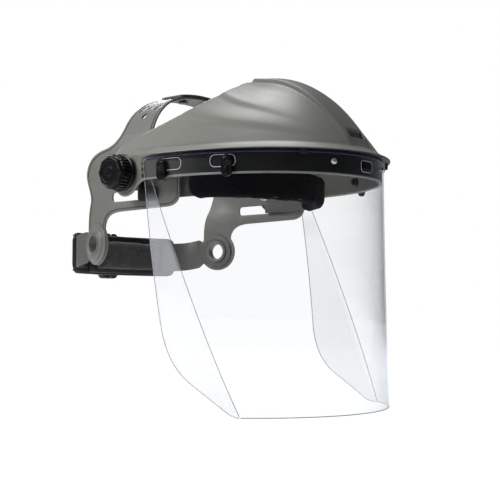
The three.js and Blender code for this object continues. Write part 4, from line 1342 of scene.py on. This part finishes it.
def nape_table(shift):
    half = nape_path(shift)
    whole = np.concatenate([half, half[-2::-1] * np.array([-1, 1])])
    length = np.concatenate([[0], np.cumsum(np.linalg.norm(np.diff(whole, axis=0), axis=1))])
    eyelet = np.interp(EYELET_Y, half[:12, 1], length[:12])
    middle = length[len(half) - 1] - eyelet
    return length - eyelet, whole, level_normals(whole), middle


def nape_drop(y):
    return float(EYELET_Z + (NAPE_Z - EYELET_Z) * smooth((y - EYELET_Y) / 45))


def build_nape_strap(side_name, side, shift, tail):
    length, line, normals, middle = nape_table(shift)

    def bend(s, v, height):
        x, y = (float(np.interp(s, length, line[:, i])) for i in (0, 1))
        nx, ny = (float(np.interp(s, length, normals[:, i])) for i in (0, 1))
        out = NAPE_T / 2 + height
        inward, slope = tuck(y)
        near = 1 - float(smooth((y - EYELET_Y - 8) / 36))
        x -= math.copysign(inward * near, x) if abs(x) > 20 else 0
        ny += slope * near
        return ((x + nx * out) * side, y + ny * out, nape_drop(y) + v)

    half = NAPE_H / 2
    end = middle + tail
    ring_end = arc((0, 0), 15.2, 38, 322, 36)
    lower = [(19, -half)] + [(s, -half) for s in np.linspace(30, end - 6, 16)]
    tip = [(end - 6, -half), (end, -half), (end, half), (end - 6, half)]
    tip = rounded(tip, 6, 5, closed=False)[1:-1].tolist()
    upper = [(s, half) for s in np.linspace(end - 7, 30, 16)] + [(19, half)]
    holes = [arc((0, 0), 8.6 + GAP, 0, 351, 40)]
    cuts = [(0, s) for s in np.linspace(6, end - 3, 64)]
    strap = rimmed_plate(f"nape_strap_{side_name}_fine", ring_end + lower + tip + upper, holes,
                         NAPE_T, bend, rim=1.3, groove=0.3, cuts=cuts)
    finish_piece(strap, "nape", MAT["strap"], "strap_grey", f"nape_strap_{side_name}", angle=42)


build_nape_strap("left", 1, 0.0, 38)
build_nape_strap("right", -1, NAPE_T + GAP, 38)

for side_name, side in SIDES:
    rivet_length = 1.2 + NAPE_T + 2 * GAP + 5.1
    rivet = lathe(f"nape_rivet_{side_name}_fine",
                  [(7.3, 0), (10, 0), (10, 1.2), (8.6, 1.2), (8.6, rivet_length),
                   (7.3, rivet_length)],
                  *eyelet_place(side, -2 * GAP - NAPE_T - 1.2), 96, 0.4)
    finish_piece(rivet, "headgear", MAT["eyelet"], "headband_grey", f"nape_rivet_{side_name}")


def arc_behind(half_x, shift, steps=90):
    """Part of the nape's line that lies within a half-width of the middle."""
    _, line, _, _ = nape_table(shift)
    keep = line[line[:, 1] > EYELET_Y + 5]
    lengths = np.concatenate([[0], np.cumsum(np.linalg.norm(np.diff(keep, axis=0), axis=1))])
    at = np.linspace(0, lengths[-1], 400)
    dense = np.stack([np.interp(at, lengths, keep[:, i]) for i in (0, 1)], 1)
    dense = dense[np.abs(dense[:, 0]) <= half_x]
    return dense[np.linspace(0, len(dense) - 1, steps).astype(int)]


def slab(thickness, low, high):
    half = thickness / 2
    return lambda u: [(-half, low), (half, low), (half, high), (-half, high)]


guide = sweep("ratchet_guide_fine", arc_behind(47.5, -2.6),
              slab(1.6, NAPE_Z - 17, NAPE_Z + 17), 0.6)
finish_piece(guide, "nape", MAT["black_satin"], "black_plastic", "ratchet_guide")


def build_housing():
    def section(u):
        end = min(u, 1 - u) / 0.06
        drop = 5.0 * (1 - float(np.sqrt(1 - (1 - min(end, 1)) ** 2)))
        low, high = NAPE_Z - 18.5 + drop, NAPE_Z + 18.5 - drop
        return [(-1.5, low), (0.8, low), (1.5, low + 2.5), (1.5, high - 2.5), (0.8, high),
                (-1.5, high)]

    shell = sweep("ratchet_housing_fine", arc_behind(64.5, 6.4, 120), section, 0.8)
    middle = NAPE_BACK + 4.6
    barrel = lathe("barrel", [(0, 0), (17, 0), (17, 6.2), (16.2, 7), (0, 7)],
                   (0, middle, NAPE_Z), (0, 1, 0), 96, 0.5)
    boolean(shell, barrel, "UNION")
    finish_piece(shell, "nape", MAT["black_satin"], "black_plastic", "ratchet_housing", angle=34)
    for end_name, at in (("top", NAPE_Z + 15.6), ("bottom", NAPE_Z - 15.6)):
        ledge = sweep(f"housing_ledge_{end_name}", arc_behind(62.5, 8.0, 110),
                      lambda u: [(-0.3, at - 0.7), (0.7, at - 0.7),
                                 (0.7, at + 0.7), (-0.3, at + 0.7)], 0.4)
        finish_piece(ledge, "nape", MAT["black_satin"], "black_plastic")


build_housing()


def grip_radius(shrink):
    return lambda angles: 22.0 - 1.7 * (0.5 - 0.5 * np.cos(14 * angles)) ** 1.6 - shrink


ratchet = turned("ratchet_knob_fine",
                 [(0.0, 5.0), (0.0, grip_radius(1.0)), (0.3, grip_radius(0.4)), (1.0, grip_radius(0.1)),
                  (9.4, grip_radius(0.1)), (10.3, grip_radius(0.5)), (10.9, grip_radius(1.3)),
                  (11.0, grip_radius(2.2)), (11.0, 17.7), (11.4, 17.5), (12.6, 17.2), (13.2, 16.6),
                  (13.4, 15.8), (13.4, 9.5), (13.3, 9.0), (13.0, 8.7), (13.0, 0.05)],
                 (0, RATCHET_Y, NAPE_Z), (0, 1, 0), KNOB_STEPS)
finish_piece(ratchet, "ratchet", MAT["black"], "black_plastic", "ratchet_knob", angle=34)
polished("ratchet_pinion", "ratchet", MAT["black_satin"], "black_plastic", 0.25)


# ------------------------------------------------------------------ pads
def pad_section(out, into, low, high, radius):
    return rounded([(out, low), (out, high), (-into, high), (-into, low)], radius, 4)


def inflate(obj, cap, pressure=4.0, voxel=4.0):
    """Short cloth run that plumps a closed sleeve, with a limit on how far any point moves."""
    remesh = obj.modifiers.new("r", "REMESH")
    remesh.mode, remesh.voxel_size = "VOXEL", voxel * MM
    bake(obj)
    start = np.array([v.co for v in obj.data.vertices])
    cloth = obj.modifiers.new("c", "CLOTH")
    cloth.settings.use_pressure = True
    cloth.settings.uniform_pressure_force = pressure
    cloth.settings.effector_weights.gravity = 0
    cloth.settings.mass = 0.2
    cloth.settings.tension_stiffness = 12
    for f in range(1, 21):
        SCENE.frame_set(f)
    graph = bpy.context.evaluated_depsgraph_get()
    moved = np.array([v.co for v in obj.evaluated_get(graph).data.vertices])
    obj.modifiers.clear()
    SCENE.frame_set(1)
    step = moved - start
    size = np.linalg.norm(step, axis=1)[:, None] + 1e-12
    start = start + step / size * np.minimum(size, cap * MM)
    obj.data.vertices.foreach_set("co", start.astype(np.float32).ravel())
    fine = obj.modifiers.new("s", "SUBSURF")
    fine.levels = fine.render_levels = 2
    return bake(obj)


def vertex_array(obj):
    co = np.zeros(len(obj.data.vertices) * 3)
    obj.data.vertices.foreach_get("co", co)
    return co.reshape(-1, 3) / MM


def store_vertices(obj, points):
    obj.data.vertices.foreach_set("co", (points * MM).astype(np.float32).ravel())
    obj.data.update()


def vertex_normals(obj):
    return np.array([v.normal for v in obj.data.vertices])


def groove(obj, line, width, depth):
    """Presses a seam into a pad along a line of points."""
    points = vertex_array(obj)
    normals = vertex_normals(obj)
    line = np.asarray(line, float)
    nearest = np.full(len(points), 1e9)
    for p in line:
        nearest = np.minimum(nearest, np.linalg.norm(points - p, axis=1))
    points -= normals * (depth * smooth(1 - nearest / width))[:, None]
    store_vertices(obj, points)


def wrinkle(obj, height, length, seed):
    """Uneven pile and small puckers of a sewn sleeve."""
    from mathutils import noise
    points = vertex_array(obj)
    normals = vertex_normals(obj)
    lift = [noise.fractal(Vector(p) / length + Vector((seed, 0, 0)), 0.7, 2.2, 4) for p in points]
    store_vertices(obj, points + normals * (np.array(lift) * height)[:, None])


def build_brow_pad():
    line = np.array(brow_line(60))[6:-6]

    def section(u):
        end = float(np.sqrt(max(0.0, 1 - (1 - min(min(u, 1 - u) / 0.05, 1)) ** 2)))
        squeeze = 0.55 + 0.45 * end
        out, into = 3.4 * squeeze, 7.2 * squeeze
        return pad_section(out, into, -3 - 13.0 * squeeze, -3 + 13.0 * squeeze, 3.4 * squeeze)

    pad = sweep("brow_pad_sleeve", line, section, 0.3)
    inflate(pad, 4.5)
    dense = np.array(brow_line(400))[12:-12]
    normals = level_normals(dense)
    outer = dense + normals * 4.6
    groove(pad, [(x, y, 4.5) for x, y in outer], 2.4, 1.1)
    wrinkle(pad, 0.35, 6.0, 3.0)
    finish_piece(pad, "headgear", MAT["brow_pad"], "pad_cloth", "brow_pad", angle=180)
    seam = tube("brow_pad_seam", [(x, y, 4.5) for x, y in dense + normals * 4.0], 0.55, 8)
    finish_piece(seam, "headgear", MAT["brow_pad"], "pad_cloth")


def build_nape_pad():
    line = arc_behind(40.6, -7.2, 80)

    def section(u):
        end = float(np.sqrt(max(0.0, 1 - (1 - min(min(u, 1 - u) / 0.04, 1)) ** 2)))
        squeeze = 0.6 + 0.4 * end
        thick, high = 2.4 * squeeze, 14.0 * squeeze
        return pad_section(thick, thick, NAPE_Z - high, NAPE_Z + high, 2.0)

    pad = sweep("nape_pad_cushion", line, section, 0.3)
    inflate(pad, 2.0, voxel=3.0)
    wrinkle(pad, 0.15, 5.0, 9.0)
    finish_piece(pad, "nape", MAT["nape_pad"], "pad_cloth", "nape_pad", angle=180)


build_brow_pad()
build_nape_pad()


# ------------------------------------------------------------------ floor, light and camera
CAMERA_M = Vector((-0.68827, -0.57942, -0.10328))
CAMERA_BACK = Vector((-0.7704, -0.6351, -0.0558)).normalized()
RIGHT = Vector((0.636, -0.7716, 0))
UP = Vector((0, 0, 1))
WORLD_LIGHT = -CAMERA_BACK * 0.29 - RIGHT * 0.35 + UP * 0.9
WORLD_RAMP = ((0.12, 0.03), (0.97, 0.85), (0.5, 0.11), (0.83, 0.3))


def build_floor():
    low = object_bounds()[0].z
    size = 6.0
    mesh = bpy.data.meshes.new("floor")
    corners = [(x, y, low - 0.0006)
               for x, y in ((-size, -size), (size, -size), (size, size), (-size, size))]
    mesh.from_pydata(corners, [], [(0, 1, 2, 3)])
    floor = bpy.data.objects.new("floor", mesh)
    SCENE.collection.objects.link(floor)
    n = Nodes("pale_floor")
    tone = n.ramp(n.noise(3.0, 2.0), (0.3, (0.80, 0.80, 0.80)), (0.7, (0.84, 0.84, 0.84)))
    matt = n.add("ShaderNodeBsdfDiffuse")
    n.link(tone, matt.inputs["Color"])
    glow = n.add("ShaderNodeEmission", Strength=1.07)
    seen = n.add("ShaderNodeLightPath")
    share = n.add("ShaderNodeMath", operation="MULTIPLY")
    n.link(seen.outputs["Is Camera Ray"], share.inputs[0])
    share.inputs[1].default_value = 0.93
    both = n.add("ShaderNodeMixShader")
    n.link(share.outputs[0], both.inputs[0])
    n.link(matt.outputs[0], both.inputs[1])
    n.link(glow.outputs[0], both.inputs[2])
    n.link(both.outputs[0], n.output.inputs["Surface"])
    mesh.materials.append(n.material)


def build_world():
    """White for the eye; the object feels a bright upper left and a dim lower right."""
    world = bpy.data.worlds.new("studio")
    SCENE.world = world
    world.use_nodes = True
    tree = world.node_tree
    tree.nodes.clear()
    output = tree.nodes.new("ShaderNodeOutputWorld")
    seen = tree.nodes.new("ShaderNodeBackground")
    seen.inputs["Color"].default_value = (1, 1, 1, 1)
    felt = tree.nodes.new("ShaderNodeBackground")
    coords = tree.nodes.new("ShaderNodeTexCoord")
    dot = tree.nodes.new("ShaderNodeVectorMath")
    dot.operation = "DOT_PRODUCT"
    dot.inputs[1].default_value = WORLD_LIGHT.normalized()
    tree.links.new(coords.outputs["Generated"], dot.inputs[0])
    ramp = tree.nodes.new("ShaderNodeValToRGB")
    span = tree.nodes.new("ShaderNodeMapRange")
    span.inputs["From Min"].default_value = -1.0
    tree.links.new(dot.outputs["Value"], span.inputs["Value"])
    tree.links.new(span.outputs["Result"], ramp.inputs[0])
    for i, (position, value) in enumerate(WORLD_RAMP):
        stops = ramp.color_ramp.elements
        stop = stops[i] if i < 2 else stops.new(position)
        stop.position = position
        stop.color = (value, value, value * 1.02, 1)
    tree.links.new(ramp.outputs["Color"], felt.inputs["Color"])
    path = tree.nodes.new("ShaderNodeLightPath")
    mix = tree.nodes.new("ShaderNodeMixShader")
    tree.links.new(path.outputs["Is Camera Ray"], mix.inputs[0])
    tree.links.new(felt.outputs[0], mix.inputs[1])
    tree.links.new(seen.outputs[0], mix.inputs[2])
    tree.links.new(mix.outputs[0], output.inputs["Surface"])


def softbox(name, position, size, power, glossy=True):
    light = bpy.data.lights.new(name, "AREA")
    light.shape, light.size, light.size_y, light.energy = "RECTANGLE", size[0], size[1], power
    lamp = bpy.data.objects.new(name, light)
    lamp.location = position
    target = Vector((0, 0, -0.02))
    lamp.rotation_mode = "QUATERNION"
    lamp.rotation_quaternion = (target - Vector(position)).to_track_quat("-Z", "Y")
    lamp.visible_glossy = glossy
    SCENE.collection.objects.link(lamp)


def build_camera():
    data = bpy.data.cameras.new("camera")
    data.sensor_width, data.lens = 36.0, 75.67
    data.clip_start, data.clip_end = 0.01, 20.0
    camera = bpy.data.objects.new("camera", data)
    camera.location = CAMERA_M
    camera.rotation_mode = "QUATERNION"
    camera.rotation_quaternion = (-CAMERA_BACK).to_track_quat("-Z", "Y")
    SCENE.collection.objects.link(camera)
    SCENE.camera = camera


build_floor()
build_world()
softbox("key", CAMERA_BACK * 0.6 - RIGHT * 1.0 + UP * 0.75, (0.9, 0.35), 16)
softbox("top", -CAMERA_BACK * 0.3 + RIGHT * 0.02 + UP * 1.15, (0.5, 0.6), 6)
softbox("fill", CAMERA_BACK * 0.9 - RIGHT * 0.9 + UP * 0.1, (0.5, 0.9), 3, glossy=False)
softbox("back", -CAMERA_BACK * 1.1 - RIGHT * 0.25 + UP * 0.5, (0.45, 0.3), 4)
build_camera()
SCENE.view_settings.view_transform = "Standard"
